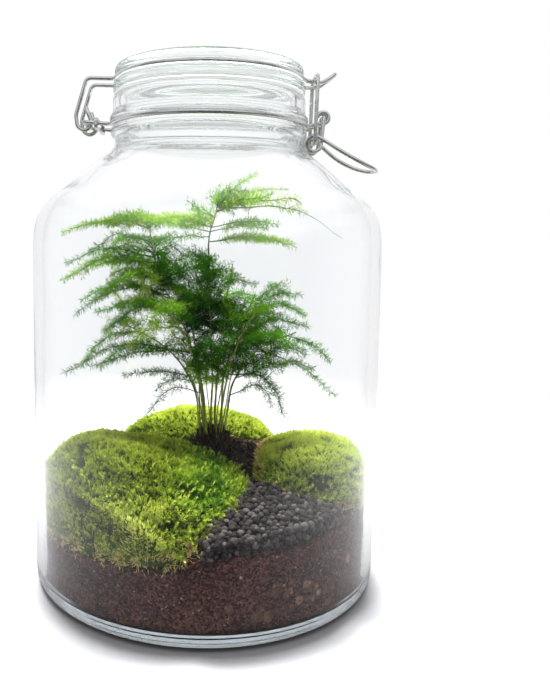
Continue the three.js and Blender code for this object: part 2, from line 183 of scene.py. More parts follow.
def smooth_profile(profile, step_small=0.55, most=6):
    """A rounded version of a turned profile, finer where the corners are tight."""
    p = np.asarray(profile, dtype=np.float64)
    seg = np.linalg.norm(np.diff(p, axis=0), axis=1)
    t = np.concatenate([[0], np.cumsum(seg)])
    q = [0.0]
    for i, length in enumerate(seg):
        n = int(min(most, max(2, math.ceil(length / step_small / 3))))
        q += list(t[i] + length * (np.arange(1, n + 1) / n))
    q = np.array(q)
    return np.stack([pchip(t, p[:, 0], q), pchip(t, p[:, 1], q)], axis=1)


def lathe(profile, n, closed=False, wobble=None):
    """Turned mesh of a profile of (r, z). Points with r = 0 become one vertex.
    With closed, the profile is a loop."""
    prof = np.asarray(profile, dtype=np.float64)
    ang = np.arange(n) * 2 * math.pi / n
    verts, index = [], []
    count = 0
    for r, z in prof:
        if r < 1e-6:
            verts.append([[0, 0, z]])
            index.append(np.full(n, count))
            count += 1
        else:
            verts.append(np.stack([r * np.cos(ang), r * np.sin(ang), np.full(n, z)], axis=1))
            index.append(count + np.arange(n))
            count += n
    verts = np.concatenate([np.asarray(v, dtype=np.float64) for v in verts])
    tri, quad = [], []
    rows = len(prof)
    pairs = [(j, (j + 1) % rows) for j in range(rows if closed else rows - 1)]
    for j0, j1 in pairs:
        a, d = index[j0], index[j1]
        b, c = np.roll(a, -1), np.roll(d, -1)
        if a[0] == a[-1] and d[0] == d[-1]:
            continue
        if a[0] == a[-1]:
            tri.append(np.stack([a, c, d], axis=1))
        elif d[0] == d[-1]:
            tri.append(np.stack([a, b, d], axis=1))
        else:
            quad.append(np.stack([a, b, c, d], axis=1))
    if wobble is not None:
        verts = wobble(verts)
    return verts, (np.concatenate(tri) if tri else None), (np.concatenate(quad) if quad else None)


def catmull(points, n):
    """Centripetal Catmull-Rom curve through the points, n + 1 evenly spaced points of it."""
    p = np.asarray(points, dtype=np.float64)
    p = np.concatenate([[2 * p[0] - p[1]], p, [2 * p[-1] - p[-2]]])
    out = []
    for i in range(1, len(p) - 2):
        p0, p1, p2, p3 = p[i - 1:i + 3]
        t0 = 0.0
        t1 = t0 + max(np.linalg.norm(p1 - p0), 1e-6) ** 0.5
        t2 = t1 + max(np.linalg.norm(p2 - p1), 1e-6) ** 0.5
        t3 = t2 + max(np.linalg.norm(p3 - p2), 1e-6) ** 0.5
        t = np.linspace(t1, t2, 24, endpoint=i == len(p) - 3)[:, None]
        a1 = (t1 - t) / (t1 - t0) * p0 + (t - t0) / (t1 - t0) * p1
        a2 = (t2 - t) / (t2 - t1) * p1 + (t - t1) / (t2 - t1) * p2
        a3 = (t3 - t) / (t3 - t2) * p2 + (t - t2) / (t3 - t2) * p3
        b1 = (t2 - t) / (t2 - t0) * a1 + (t - t0) / (t2 - t0) * a2
        b2 = (t3 - t) / (t3 - t1) * a2 + (t - t1) / (t3 - t1) * a3
        out.append((t2 - t) / (t2 - t1) * b1 + (t - t1) / (t2 - t1) * b2)
    out = np.concatenate(out)
    return spaced(out, n)


def spaced(path, n):
    d = np.concatenate([[0], np.cumsum(np.linalg.norm(np.diff(path, axis=0), axis=1))])
    q = np.linspace(0, d[-1], n + 1)
    return np.stack([np.interp(q, d, path[:, k]) for k in range(3)], axis=1)


def sweep(path, radius, sides=12, closed=False, cap=0.5):
    """Round tube along a path; its ends are capped with a small rounded edge."""
    p = np.asarray(path, dtype=np.float64)
    keep = np.concatenate([[True], np.linalg.norm(np.diff(p, axis=0), axis=1) > 1e-4])
    p = p[keep]
    rad = np.broadcast_to(np.asarray(radius, dtype=np.float64), (len(keep),))[keep].copy()
    if closed and np.linalg.norm(p[0] - p[-1]) < 1e-3:
        p, rad = p[:-1], rad[:-1]
    if not closed and cap:
        head = unit(p[1] - p[0])
        tail = unit(p[-1] - p[-2])
        e0, e1 = rad[0] * 0.35 * cap, rad[-1] * 0.35 * cap
        p = np.concatenate([[p[0]], [p[0] + head * e0], p[1:-1], [p[-1] - tail * e1], [p[-1]]])
        rad = np.concatenate([[rad[0] * (1 - 0.4 * cap)], [rad[0]], rad[1:-1], [rad[-1]], [rad[-1] * (1 - 0.4 * cap)]])
    n = len(p)
    if closed:
        tangent = unit(np.roll(p, -1, 0) - np.roll(p, 1, 0))
    else:
        tangent = unit(np.gradient(p, axis=0))
    normal = np.zeros_like(p)
    start = np.cross(tangent[0], (0, 0, 1.0))
    if np.linalg.norm(start) < 0.1:
        start = np.cross(tangent[0], (1.0, 0, 0))
    normal[0] = start / np.linalg.norm(start)
    for i in range(1, n):
        v = normal[i - 1] - tangent[i] * np.dot(normal[i - 1], tangent[i])
        normal[i] = v / max(np.linalg.norm(v), 1e-9)
    binormal = np.cross(tangent, normal)
    a = np.arange(sides) * 2 * math.pi / sides
    if closed:
        v = normal[-1] - tangent[0] * np.dot(normal[-1], tangent[0])
        twist = math.atan2(np.dot(v, binormal[0]), np.dot(v, normal[0]))
        a = a[None, :] - (np.arange(n) / n)[:, None] * twist
    else:
        a = np.broadcast_to(a[None, :], (n, sides))
    verts = (p[:, None, :] + rad[:, None, None] * (np.cos(a)[..., None] * normal[:, None, :]
                                                    + np.sin(a)[..., None] * binormal[:, None, :]))
    verts = verts.reshape(-1, 3)
    ring = np.arange(sides)
    rows = n if closed else n - 1
    i0 = (np.arange(rows) * sides)[:, None]
    i1 = ((np.arange(rows) + 1) % n * sides)[:, None]
    quad = np.stack([i0 + ring, i0 + (ring + 1) % sides, i1 + (ring + 1) % sides, i1 + ring], axis=-1).reshape(-1, 4)
    tri = None
    if not closed:
        m = len(verts)
        verts = np.concatenate([verts, [p[0]], [p[-1]]])
        last = (n - 1) * sides
        tri = np.concatenate([
            np.stack([np.full(sides, m), (ring + 1) % sides, ring], axis=1),
            np.stack([np.full(sides, m + 1), last + ring, last + (ring + 1) % sides], axis=1)])
    return verts, tri, quad


def ico(level):
    t = (1 + 5 ** 0.5) / 2
    v = np.array([[-1, t, 0], [1, t, 0], [-1, -t, 0], [1, -t, 0], [0, -1, t], [0, 1, t],
                  [0, -1, -t], [0, 1, -t], [t, 0, -1], [t, 0, 1], [-t, 0, -1], [-t, 0, 1]], dtype=np.float64)
    f = np.array([[0, 11, 5], [0, 5, 1], [0, 1, 7], [0, 7, 10], [0, 10, 11], [1, 5, 9], [5, 11, 4], [11, 10, 2],
                  [10, 7, 6], [7, 1, 8], [3, 9, 4], [3, 4, 2], [3, 2, 6], [3, 6, 8], [3, 8, 9], [4, 9, 5],
                  [2, 4, 11], [6, 2, 10], [8, 6, 7], [9, 8, 1]])
    v = unit(v)
    for _ in range(level):
        mids, new, verts = {}, [], list(v)

        def mid(a, b):
            key = (min(a, b), max(a, b))
            if key not in mids:
                mids[key] = len(verts)
                verts.append((v[a] + v[b]) / np.linalg.norm(v[a] + v[b]))
            return mids[key]

        for a, b, c in f:
            ab, bc, ca = mid(a, b), mid(b, c), mid(c, a)
            new += [[a, ab, ca], [b, bc, ab], [c, ca, bc], [ab, bc, ca]]
        v, f = np.array(verts), np.array(new)
    return v, f


def lumps(rng, centres, sizes, level, rough=0.25, squash=0.75, freq=1.1, axes=None):
    """Many rounded stones in one go. Returns points, triangles and which stone each point is of."""
    base, tri = ico(level)
    n, k = len(centres), len(base)
    q = unit(rng.normal(size=(n, 4)))
    w, x, y, z = q.T
    rot = np.stack([
        1 - 2 * (y * y + z * z), 2 * (x * y - z * w), 2 * (x * z + y * w),
        2 * (x * y + z * w), 1 - 2 * (x * x + z * z), 2 * (y * z - x * w),
        2 * (x * z - y * w), 2 * (y * z + x * w), 1 - 2 * (x * x + y * y)], axis=1).reshape(n, 3, 3)
    shape = np.stack([np.ones(n), rng.uniform(squash, 1, n), rng.uniform(squash * 0.85, 0.95, n)], axis=1)
    pts = np.broadcast_to(base, (n, k, 3)) * shape[:, None, :]
    off = rng.uniform(-50, 50, size=(n, 1, 3))
    bump = fractal((np.broadcast_to(base, (n, k, 3)) * freq + off).reshape(-1, 3), 5, 2).reshape(n, k, 1)
    pts = pts * (1 + rough * bump)
    pts = np.einsum("nij,nkj->nki", rot, pts) * np.asarray(sizes)[:, None, None]
    pts = pts + np.asarray(centres)[:, None, :]
    faces = (tri[None] + (np.arange(n) * k)[:, None, None]).reshape(-1, 3)
    return pts.reshape(-1, 3), faces, np.repeat(np.arange(n), k)


# ------------------------------------------------------------------ materials
class Graph:
    def __init__(self, name):
        self.mat = bpy.data.materials.new(name)
        self.mat.use_nodes = True
        self.nt = self.mat.node_tree
        self.nt.nodes.clear()
        self.out = self.nt.nodes.new("ShaderNodeOutputMaterial")

    def node(self, kind, props=None, **inputs):
        n = self.nt.nodes.new(kind)
        for k, v in (props or {}).items():
            setattr(n, k, v)
        for k, v in inputs.items():
            self.put(n, k.replace("_", " "), v)
        return n

    def put(self, n, key, v):
        sock = n.inputs[int(key)] if key.isdigit() else n.inputs[key]
        if isinstance(v, bpy.types.NodeSocket):
            self.nt.links.new(v, sock)
        elif isinstance(v, bpy.types.Node):
            self.nt.links.new(v.outputs[0], sock)
        else:
            sock.default_value = v

    def math(self, op, a, b=None, c=None):
        n = self.nt.nodes.new("ShaderNodeMath")
        n.operation = op
        for i, v in enumerate((a, b, c)):
            if v is not None:
                self.put(n, str(i), v)
        return n.outputs[0]

    def mix(self, fac, a, b, blend="MIX"):
        n = self.nt.nodes.new("ShaderNodeMix")
        n.data_type = "RGBA"
        n.blend_type = blend
        n.clamp_factor = True
        for i, v in ((0, fac), (6, a), (7, b)):
            if isinstance(v, (bpy.types.NodeSocket, bpy.types.Node)):
                self.put(n, str(i), v)
            else:
                n.inputs[i].default_value = v if i == 0 else (*v, 1.0)
        return n.outputs[2]

    def ramp(self, fac, stops, interpolation="LINEAR"):
        n = self.nt.nodes.new("ShaderNodeValToRGB")
        n.color_ramp.interpolation = interpolation
        el = n.color_ramp.elements
        while len(el) < len(stops):
            el.new(0.5)
        for e, (pos, col) in zip(el, stops):
            e.position = pos
            e.color = (*col, 1.0) if len(col) == 3 else col
        self.put(n, "0", fac)
        return n.outputs[0]

    def attr(self, name):
        n = self.nt.nodes.new("ShaderNodeAttribute")
        n.attribute_name = name
        return n.outputs["Fac"]

    def coords(self):
        return self.nt.nodes.new("ShaderNodeTexCoord").outputs["Object"]

    def noise(self, scale, detail=3.0, rough=0.55, vec=None, distortion=0.0):
        n = self.nt.nodes.new("ShaderNodeTexNoise")
        n.inputs["Scale"].default_value = scale
        n.inputs["Detail"].default_value = detail
        n.inputs["Roughness"].default_value = rough
        n.inputs["Distortion"].default_value = distortion
        self.nt.links.new(vec if vec is not None else self.coords(), n.inputs["Vector"])
        return n.outputs["Fac"]

    def voronoi(self, scale, feature="F1", out="Distance", vec=None):
        n = self.nt.nodes.new("ShaderNodeTexVoronoi")
        n.feature = feature
        n.inputs["Scale"].default_value = scale
        self.nt.links.new(vec if vec is not None else self.coords(), n.inputs["Vector"])
        return n.outputs[out]

    def bump(self, height, strength, distance, normal=None):
        n = self.nt.nodes.new("ShaderNodeBump")
        n.inputs["Strength"].default_value = strength
        n.inputs["Distance"].default_value = distance
        self.nt.links.new(height, n.inputs["Height"])
        if normal is not None:
            self.nt.links.new(normal, n.inputs["Normal"])
        return n.outputs[0]

    def finish(self, surface):
        self.nt.links.new(surface if isinstance(surface, bpy.types.NodeSocket) else surface.outputs[0],
                          self.out.inputs["Surface"])
        return self.mat


def glass_material(name, tint, haze, film_colour, soft_from=None, soft=0.0, waves=0.035, thick=None):
    """Clear soda-lime glass: bends light, lets the lamps' light through to
    what is inside, and carries a faint dull film where it is looked along."""
    g = Graph(name)
    wave = g.noise(26.0, 2.0, 0.5)
    pores = g.noise(140.0, 2.0, 0.5)
    normal = g.bump(g.math("ADD", wave, g.math("MULTIPLY", pores, 0.12)), waves, 0.004)
    glass = g.node("ShaderNodeBsdfGlass", Color=tint, Roughness=soft, IOR=1.5, Normal=normal)
    if thick is not None:
        # the solid rim takes more of the light than the thin middle
        level = g.node("ShaderNodeSeparateXYZ", Vector=g.coords()).outputs[2]
        g.put(glass, "Color", g.ramp(g.math("MULTIPLY", g.math("SUBTRACT", level, thick[0]), 100.0),
                                     [(0.0, tint[:3]), (0.3, thick[1])]))
    if soft_from is not None:
        # the moulded neck is less clear than the blown wall
        level = g.node("ShaderNodeSeparateXYZ", Vector=g.coords()).outputs[2]
        g.put(glass, "Roughness", g.ramp(g.math("MULTIPLY", g.math("SUBTRACT", level, soft_from), 40.0),
                                         [(0.0, (0.0, 0.0, 0.0)), (0.5, (0.06, 0.06, 0.06))]))
    film = g.node("ShaderNodeBsdfDiffuse", Color=film_colour)
    layer = g.node("ShaderNodeLayerWeight", Blend=0.3)
    cloud = g.ramp(g.noise(34.0, 3.0, 0.6), [(0.35, (0.55, 0.55, 0.55)), (0.7, (1, 1, 1))])
    amount = g.math("MULTIPLY", g.math("MULTIPLY", g.math("POWER", layer.outputs["Facing"], 4.6), haze), cloud)
    seen = g.node("ShaderNodeMixShader")
    g.put(seen, "0", amount)
    g.put(seen, "1", glass)
    g.put(seen, "2", film)
    # light that comes down inside the wall doesn't leave it through the rounded foot
    height = g.node("ShaderNodeSeparateXYZ", Vector=g.coords()).outputs[2]
    shade = g.ramp(g.math("MULTIPLY", height, 10.0), [(0.022, (0.02, 0.02, 0.022)), (0.036, (0.965, 0.972, 0.975))])
    clear = g.node("ShaderNodeBsdfTransparent", Color=shade)
    path = g.node("ShaderNodeLightPath")
    through = g.math("MAXIMUM", path.outputs["Is Shadow Ray"], path.outputs["Is Diffuse Ray"])
    both = g.node("ShaderNodeMixShader")
    g.put(both, "0", through)
    g.put(both, "1", seen)
    g.put(both, "2", clear)
    return g.finish(both)


def steel_material():
    g = Graph("steel_wire")
    fine = g.noise(2600.0, 2.0, 0.6)
    patch = g.noise(170.0, 3.0, 0.6)
    rough = g.math("ADD", g.math("MULTIPLY", patch, 0.16), 0.2)
    colour = g.ramp(patch, [(0.3, (0.54, 0.545, 0.54)), (0.72, (0.70, 0.705, 0.70))])
    normal = g.bump(g.math("ADD", fine, g.math("MULTIPLY", patch, 0.8)), 0.12, 0.0002)
    return g.finish(g.node("ShaderNodeBsdfPrincipled", Base_Color=colour, Metallic=1.0, Roughness=rough, Normal=normal))


def seal_material():
    g = Graph("seal_rubber")
    n = g.noise(900.0, 3.0)
    colour = g.ramp(n, [(0.3, (0.72, 0.73, 0.72)), (0.7, (0.80, 0.81, 0.80))])
    return g.finish(g.node("ShaderNodeBsdfPrincipled", Base_Color=colour, Roughness=0.5,
                           Normal=g.bump(n, 0.2, 0.0002)))


def leaf_material(name, stops, back=0.42, gloss=0.45, patch=(45.0, 0.16), other=None):
    """Thin green growth: colour from how old it is, with painted shade where it sits deep in the plant; light passes
    through.
    """
    g = Graph(name)
    tint = g.attr("tint")
    drift = g.math("MULTIPLY", g.math("SUBTRACT", g.noise(patch[0], 2.0), 0.5), patch[1] * 2)
    fleck = g.math("MULTIPLY", g.math("SUBTRACT", g.noise(900.0, 2.0), 0.5), 0.16)
    t = g.math("ADD", g.math("ADD", tint, drift), fleck)
    colour = g.ramp(t, stops)
    if other:
        colour = g.mix(g.attr("green"), colour, g.ramp(t, other), "MIX")
    front = g.node("ShaderNodeBsdfPrincipled", Base_Color=colour, Roughness=gloss)
    front.inputs["Specular IOR Level"].default_value = 0.15
    behind = g.node("ShaderNodeBsdfTranslucent")
    g.put(behind, "Color", g.mix(1.0, colour, (1.0, 1.0, 0.55), "MULTIPLY"))
    both = g.node("ShaderNodeMixShader")
    both.inputs[0].default_value = back
    g.put(both, "1", front)
    g.put(both, "2", behind)
    return g.finish(both)


def stem_material(name, stops):
    g = Graph(name)
    t = g.math("ADD", g.attr("tint"), g.math("MULTIPLY", g.math("SUBTRACT", g.noise(420.0, 3.0), 0.5), 0.3))
    n = g.noise(1800.0, 2.0)
    return g.finish(g.node("ShaderNodeBsdfPrincipled", Base_Color=g.ramp(t, stops), Roughness=0.5,
                           Normal=g.bump(n, 0.3, 0.0002)))


def soil_material():
    """Damp potting soil: grains of many browns, with lighter specks."""
    g = Graph("potting_soil")
    co = g.coords()
    grain = g.node("ShaderNodeTexVoronoi", Scale=1180.0, Vector=co)
    fine = g.noise(1500.0, 4.0, 0.65, co)
    broad = g.noise(38.0, 3.0, 0.6, co)
    seed = g.node("ShaderNodeSeparateColor", Color=grain.outputs["Color"])
    t = g.math("ADD", g.math("MULTIPLY", seed.outputs[0], 0.45),
               g.math("ADD", g.math("MULTIPLY", fine, 0.35), g.math("MULTIPLY", broad, 0.2)))
    t = g.math("ADD", t, g.math("MULTIPLY", g.attr("tint"), 0.25))
    specks = g.ramp(seed.outputs[1], [(0.955, (0.0, 0.0, 0.0)), (0.975, (1.0, 1.0, 1.0))])
    t = g.math("ADD", t, g.math("MULTIPLY", specks, 0.22))
    colour = g.ramp(t, [(0.18, (0.006, 0.003, 0.002)), (0.42, (0.034, 0.0155, 0.0132)), (0.62, (0.099, 0.045, 0.037)),
                        (0.8, (0.175, 0.076, 0.056)), (0.97, (0.34, 0.23, 0.18))])
    h = g.math("ADD", g.math("MULTIPLY", grain.outputs["Distance"], -0.8), g.math("MULTIPLY", fine, 0.9))
    ground = g.node("ShaderNodeBsdfPrincipled", Base_Color=colour, Roughness=0.82,
                    Normal=g.bump(h, 0.9, 0.0009))
    ground.inputs["Specular IOR Level"].default_value = 0.12
    return g.finish(ground)


def clay_material():
    g = Graph("clay_granule")
    n = g.noise(420.0, 4.0, 0.6)
    t = g.math("ADD", g.math("MULTIPLY", n, 0.7), g.math("MULTIPLY", g.attr("tint"), 0.5))
    colour = g.ramp(t, [(0.2, (0.026, 0.013, 0.009)), (0.5, (0.105, 0.055, 0.037)), (0.85, (0.36, 0.22, 0.145))])
    clay = g.node("ShaderNodeBsdfPrincipled", Base_Color=colour, Roughness=0.85,
                  Normal=g.bump(g.noise(1100.0, 3.0), 0.5, 0.0006))
    clay.inputs["Specular IOR Level"].default_value = 0.2
    return g.finish(clay)


def gravel_material():
    g = Graph("black_gravel")
    n = g.noise(520.0, 4.0, 0.6)
    t = g.math("ADD", g.math("MULTIPLY", n, 0.6), g.math("MULTIPLY", g.attr("tint"), 0.5))
    colour = g.ramp(t, [(0.2, (0.007, 0.006, 0.006)), (0.55, (0.031, 0.0245, 0.0238)), (0.9, (0.107, 0.092, 0.088))])
    rough = g.math("ADD", g.math("MULTIPLY", n, 0.25), 0.38)
    stones = g.node("ShaderNodeBsdfPrincipled", Base_Color=colour, Roughness=rough,
                    Normal=g.bump(g.noise(1700.0, 3.0), 0.45, 0.0004))
    stones.inputs["Specular IOR Level"].default_value = 0.4
    return g.finish(stones)


def bark_material():
    g = Graph("crown_bark")
    n = g.noise(260.0, 4.0, 0.65)
    t = g.math("ADD", g.math("MULTIPLY", n, 0.7), g.math("MULTIPLY", g.attr("tint"), 0.5))
    colour = g.ramp(t, [(0.2, (0.006, 0.004, 0.003)), (0.5, (0.025, 0.015, 0.009)), (0.75, (0.07, 0.042, 0.022)),
                        (0.97, (0.2, 0.13, 0.065))])
    return g.finish(g.node("ShaderNodeBsdfPrincipled", Base_Color=colour, Roughness=0.8,
                           Normal=g.bump(g.noise(1300.0, 3.0), 0.7, 0.0007)))


GLASS = glass_material("clear_glass", (0.985, 0.99, 0.993, 1.0), 0.50, (0.335, 0.335, 0.35, 1.0), soft_from=0.219)
LID_GLASS = glass_material("clear_glass_lid", (0.972, 0.98, 0.977, 1.0), 0.5, (0.30, 0.32, 0.32, 1.0), soft=0.09,
                           thick=(0.2640, (0.825, 0.85, 0.838)), waves=0.012)
STEEL = steel_material()
SEAL = seal_material()
FERN = leaf_material("fern_leaf", [
    (0.0, (0.008, 0.05, 0.003)), (0.3, (0.045, 0.19, 0.006)), (0.55, (0.14, 0.32, 0.012)),
    (0.8, (0.30, 0.43, 0.03)), (1.0, (0.47, 0.53, 0.14))], back=0.5)
FERN_STEM = stem_material("fern_stem", [
    (0.0, (0.07, 0.045, 0.016)), (0.3, (0.17, 0.185, 0.036)), (0.55, (0.32, 0.38, 0.07)), (1.0, (0.52, 0.56, 0.16))])
MOSS = leaf_material("moss_leaf", [
    (0.0, (0.02, 0.03, 0.004)), (0.25, (0.12, 0.165, 0.014)), (0.5, (0.31, 0.39, 0.04)),
    (0.75, (0.52, 0.60, 0.09)), (1.0, (0.74, 0.76, 0.22))], back=0.3, gloss=0.55, patch=(60.0, 0.15),
    other=[(0.0, (0.006, 0.025, 0.003)), (0.25, (0.04, 0.14, 0.010)), (0.5, (0.13, 0.34, 0.022)),
           (0.75, (0.27, 0.53, 0.05)), (1.0, (0.48, 0.70, 0.14))])
MOSS_BROWN = leaf_material("moss_dry", [
    (0.0, (0.10, 0.055, 0.02)), (0.5, (0.42, 0.31, 0.095)), (1.0, (0.86, 0.70, 0.32))], back=0.2, gloss=0.7)
SOIL = soil_material()
CLAY = clay_material()
GRAVEL = gravel_material()
BARK = bark_material()

# ------------------------------------------------------------------ glass
JAR_OUTER = [
    (0, 3.2), (40, 3.0), (64, 1.6), (69, 0), (85, 0), (88.0, 0.55), (90.3, 1.75), (91.15, 2.6), (91.95, 3.5),
    (92.2, 4.5), (92.65, 5.6), (92.5, 6.7), (92.86, 8.0), (92.66, 9.2), (92.88, 10.8), (92.8, 12.2), (92.9, 14), (92.8, 40), (92.0, 100), (91.4, 150), (91.0, 178), (89.8, 189.5),
    (86.8, 196.8), (82.0, 201.8), (76.2, 206.2), (63.5, 217.2), (54.6, 224.2),
    (50.0, 227.6), (48.8, 230.0), (48.9, 232.4), (51.0, 235.2), (51.0, 237.8),
    (49.7, 238.3), (49.7, 240.9), (51.4, 241.4), (51.5, 243.6), (50.0, 245.4),
    (49.8, 252.8), (48.6, 254)]
JAR_INNER = [
    (44.6, 254), (43.8, 253.0), (43.6, 232.0), (46.4, 225.0), (51.7, 220.4),
    (60.4, 213.5), (73.1, 202.5), (78.8, 198.2), (82.7, 194.2), (85.1, 188.5), (86.2, 180.0),
    (86.8, 160), (87.4, 100), (88.0, 50), (88.2, 20), (88.2, 10.8), (87.95, 8.3),
    (87.1, 6.95), (85.2, 6.5), (0, 6.5)]
LID = [
    (0, 261.2), (14.0, 261.0), (26.0, 260.2), (34.0, 258.5), (38.2, 255.9), (39.6, 253.4), (41.2, 253.0),
    (42.0, 255.9), (49.0, 255.9), (49.6, 256.8), (49.6, 260.2), (47.1, 260.9),
    (47.1, 263.9), (48.4, 264.5), (48.8, 265.8), (48.6, 267.3), (47.8, 268.3), (46.4, 268.8),
    (42.6, 268.8), (41.2, 267.2), (38.8, 265.6), (0, 265.2)]


def even_shoulder(outer, inner, z0=172.0, z1=226.0):
    """The shoulder is rounded alike on both sides, so it doesn't work as a lens: the inside is the outside's own
    curve, moved in by the wall's thickness."""
    seg = np.linalg.norm(np.diff(outer, axis=0), axis=1)
    t = np.concatenate([[0], np.cumsum(seg)])
    ta = t[np.argmax((outer[:, 0] > 60) & (outer[:, 1] > z0))]
    tb = t[np.argmax(outer[:, 1] > z1)]
    fine = np.arange(ta - 30, tb + 8, 0.25)
    line = np.stack([np.interp(fine, t, outer[:, 0]), np.interp(fine, t, outer[:, 1])], axis=1)
    k = np.exp(-0.5 * (np.arange(-40, 41) * 0.25 / 3.2) ** 2)
    k /= k.sum()
    soft = np.stack([np.convolve(np.pad(line[:, i], 40, mode="reflect", reflect_type="odd"), k, "valid") for i in range(2)], axis=1)
    # the neck keeps its own tight curve
    w = np.clip((tb - 3 - fine) / 6, 0, 1)[:, None]
    line = line * (1 - w) + soft * w
    inside = line + np.array([-4.55, -1.3])
    keep = (fine >= ta) & (fine <= tb)
    pick = np.flatnonzero(keep)[::6]
    new_outer = np.concatenate([outer[t < ta - 0.3], line[pick], outer[t > tb + 0.8]])
    top = inner[inner[:, 1] > inside[pick[-1]][1] + 1.6]
    cut = inside[pick][::-1]
    low = np.flatnonzero((inner[:, 1] < inside[pick[0]][1] - 1.5) | (np.arange(len(inner)) > len(inner) - 4))
    low = low[low > len(top)]
    new_inner = np.concatenate([top, cut, inner[low]])
    return new_outer, new_inner


def make_glass():
    outer, inner = even_shoulder(smooth_profile(JAR_OUTER), smooth_profile(JAR_INNER))
    rows_out = len(outer)

    def wobble(v):
        # Pressed glass isn't even: the inside wall and floor run in soft waves.
        r = np.hypot(v[:, 0], v[:, 1])
        safe = np.maximum(r, 1.0)
        d = np.stack([v[:, 0] / safe, v[:, 1] / safe], axis=1)
        around = np.stack([d[:, 0] * 3.0, d[:, 1] * 3.0, v[:, 2] * 0.018], axis=1)
        soft = noise(around, 3) * 0.16 + noise(around * 2.6 + 9, 4) * 0.05
        fade = np.clip((v[:, 2] - 2) / 10, 0, 1) * np.clip((188 - v[:, 2]) / 14, 0, 1)
        first_inner = 1 + (rows_out - 1) * 150
        is_inner = np.arange(len(v)) >= first_inner
        push = np.where(is_inner, soft * 1.0, np.minimum(-np.abs(soft) * 0.25, 0)) * fade * (r > 5)
        v = v.copy()
        v[:, 0] += d[:, 0] * push
        v[:, 1] += d[:, 1] * push
        return v

    v, t, q = lathe(np.concatenate([outer, inner]), 150, wobble=wobble)
    piece("jar_glass", v, [f for f in (t, q) if f is not None], GLASS, "jar", ("jar_body",), "clear_glass")
    v, t, q = lathe(smooth_profile(LID, 0.4, 8), 144)
    piece("lid_glass", v, [f for f in (t, q) if f is not None], LID_GLASS, "lid", ("lid",), "clear_glass")
    ringp = [(42.8 + 0.3, 254.3), (49.0, 254.3), (49.3, 254.55), (49.3, 255.35), (49.0, 255.6), (46.4, 255.45),
             (46.0, 255.6), (43.1, 255.6), (42.8, 255.35), (42.8, 254.55)]
    v, t, q = lathe(ringp, 120, closed=True)
    piece("seal_ring", v, [q], SEAL, "lid", ("gasket",), "seal_rubber")


make_glass()

# ------------------------------------------------------------------ wires
WIRE_R = 1.05
LID_RING, NECK_RING = (48.5, 262.4), (51.1, 239.6)
HINGE, HINGE_LOOP_R, HINGE_LEG_Y, NECK_LEG_Y = (-64.0, 240.6), 3.7, 8.4, 11.0
PIVOT, PIVOT_EYE_R, PIVOT_EYE_Y = (59.4, 245.2), 2.9, 2.4
COIL, COIL_R = (54.5, 231.6), 3.9
LEVER_LEG_Y, LEVER_COIL_Y, LEVER_TIP = 4.9, 7.2, (88.8, 218.6)
BAIL_Y, BAIL_TOP = 9.6, (55.0, 265.6)


def turn_about(v, axis, a):
    return (v * math.cos(a) + np.cross(axis, v) * math.sin(a) + axis * np.dot(axis, v) * (1 - math.cos(a)))


def bent(points, step=8.0):
    """Straight runs with rounded corners; a point's fourth number is its corner's radius."""
    pts = [np.array(p[:3], dtype=np.float64) for p in points]
    out = [pts[0]]
    for i in range(1, len(pts) - 1):
        a, b, c = pts[i - 1], pts[i], pts[i + 1]
        r = points[i][3] if len(points[i]) > 3 else 0
        u, v = unit(a - b), unit(c - b)
        angle = math.acos(min(1, max(-1, float(np.dot(u, v)))))
        turn = math.pi - angle
        if not r or turn < 0.05:
            out.append(b)
            continue
        cut = min(r / math.tan(angle / 2), 0.48 * np.linalg.norm(a - b), 0.48 * np.linalg.norm(b - c))
        rr = cut * math.tan(angle / 2)
        centre = b + unit(u + v) * rr / math.sin(angle / 2)
        p0, p1 = b + u * cut - centre, b + v * cut - centre
        axis = unit(np.cross(p0, p1))
        n = max(2, math.ceil(math.degrees(turn) / step))
        out += [turn_about(p0, axis, turn * k / n) + centre for k in range(n + 1)]
    out.append(pts[-1])
    return out


def loop_xz(c, r, start, end, y0, y1, n):
    out = []
    for i in range(n + 1):
        a = math.radians(start + (end - start) * i / n)
        out.append(np.array([c[0] + r * math.cos(a), y0 + (y1 - y0) * i / n, c[1] + r * math.sin(a)]))
    return out


def ring_arc(c, start, end, n):
    out = []
    for i in range(n + 1):
        a = math.radians(start + (end - start) * i / n)
        out.append(np.array([c[0] * math.cos(a), c[0] * math.sin(a), c[1]]))
    return out


def mirror_y(points):
    return [np.array([p[0], -p[1], p[2]]) for p in points][::-1]


def wire(name, path, body, nodes):
    v, t, q = sweep(path, WIRE_R, 14, cap=1.0)
    piece(name, v, [f for f in (t, q) if f is not None], STEEL, body, nodes, "closure_wire")


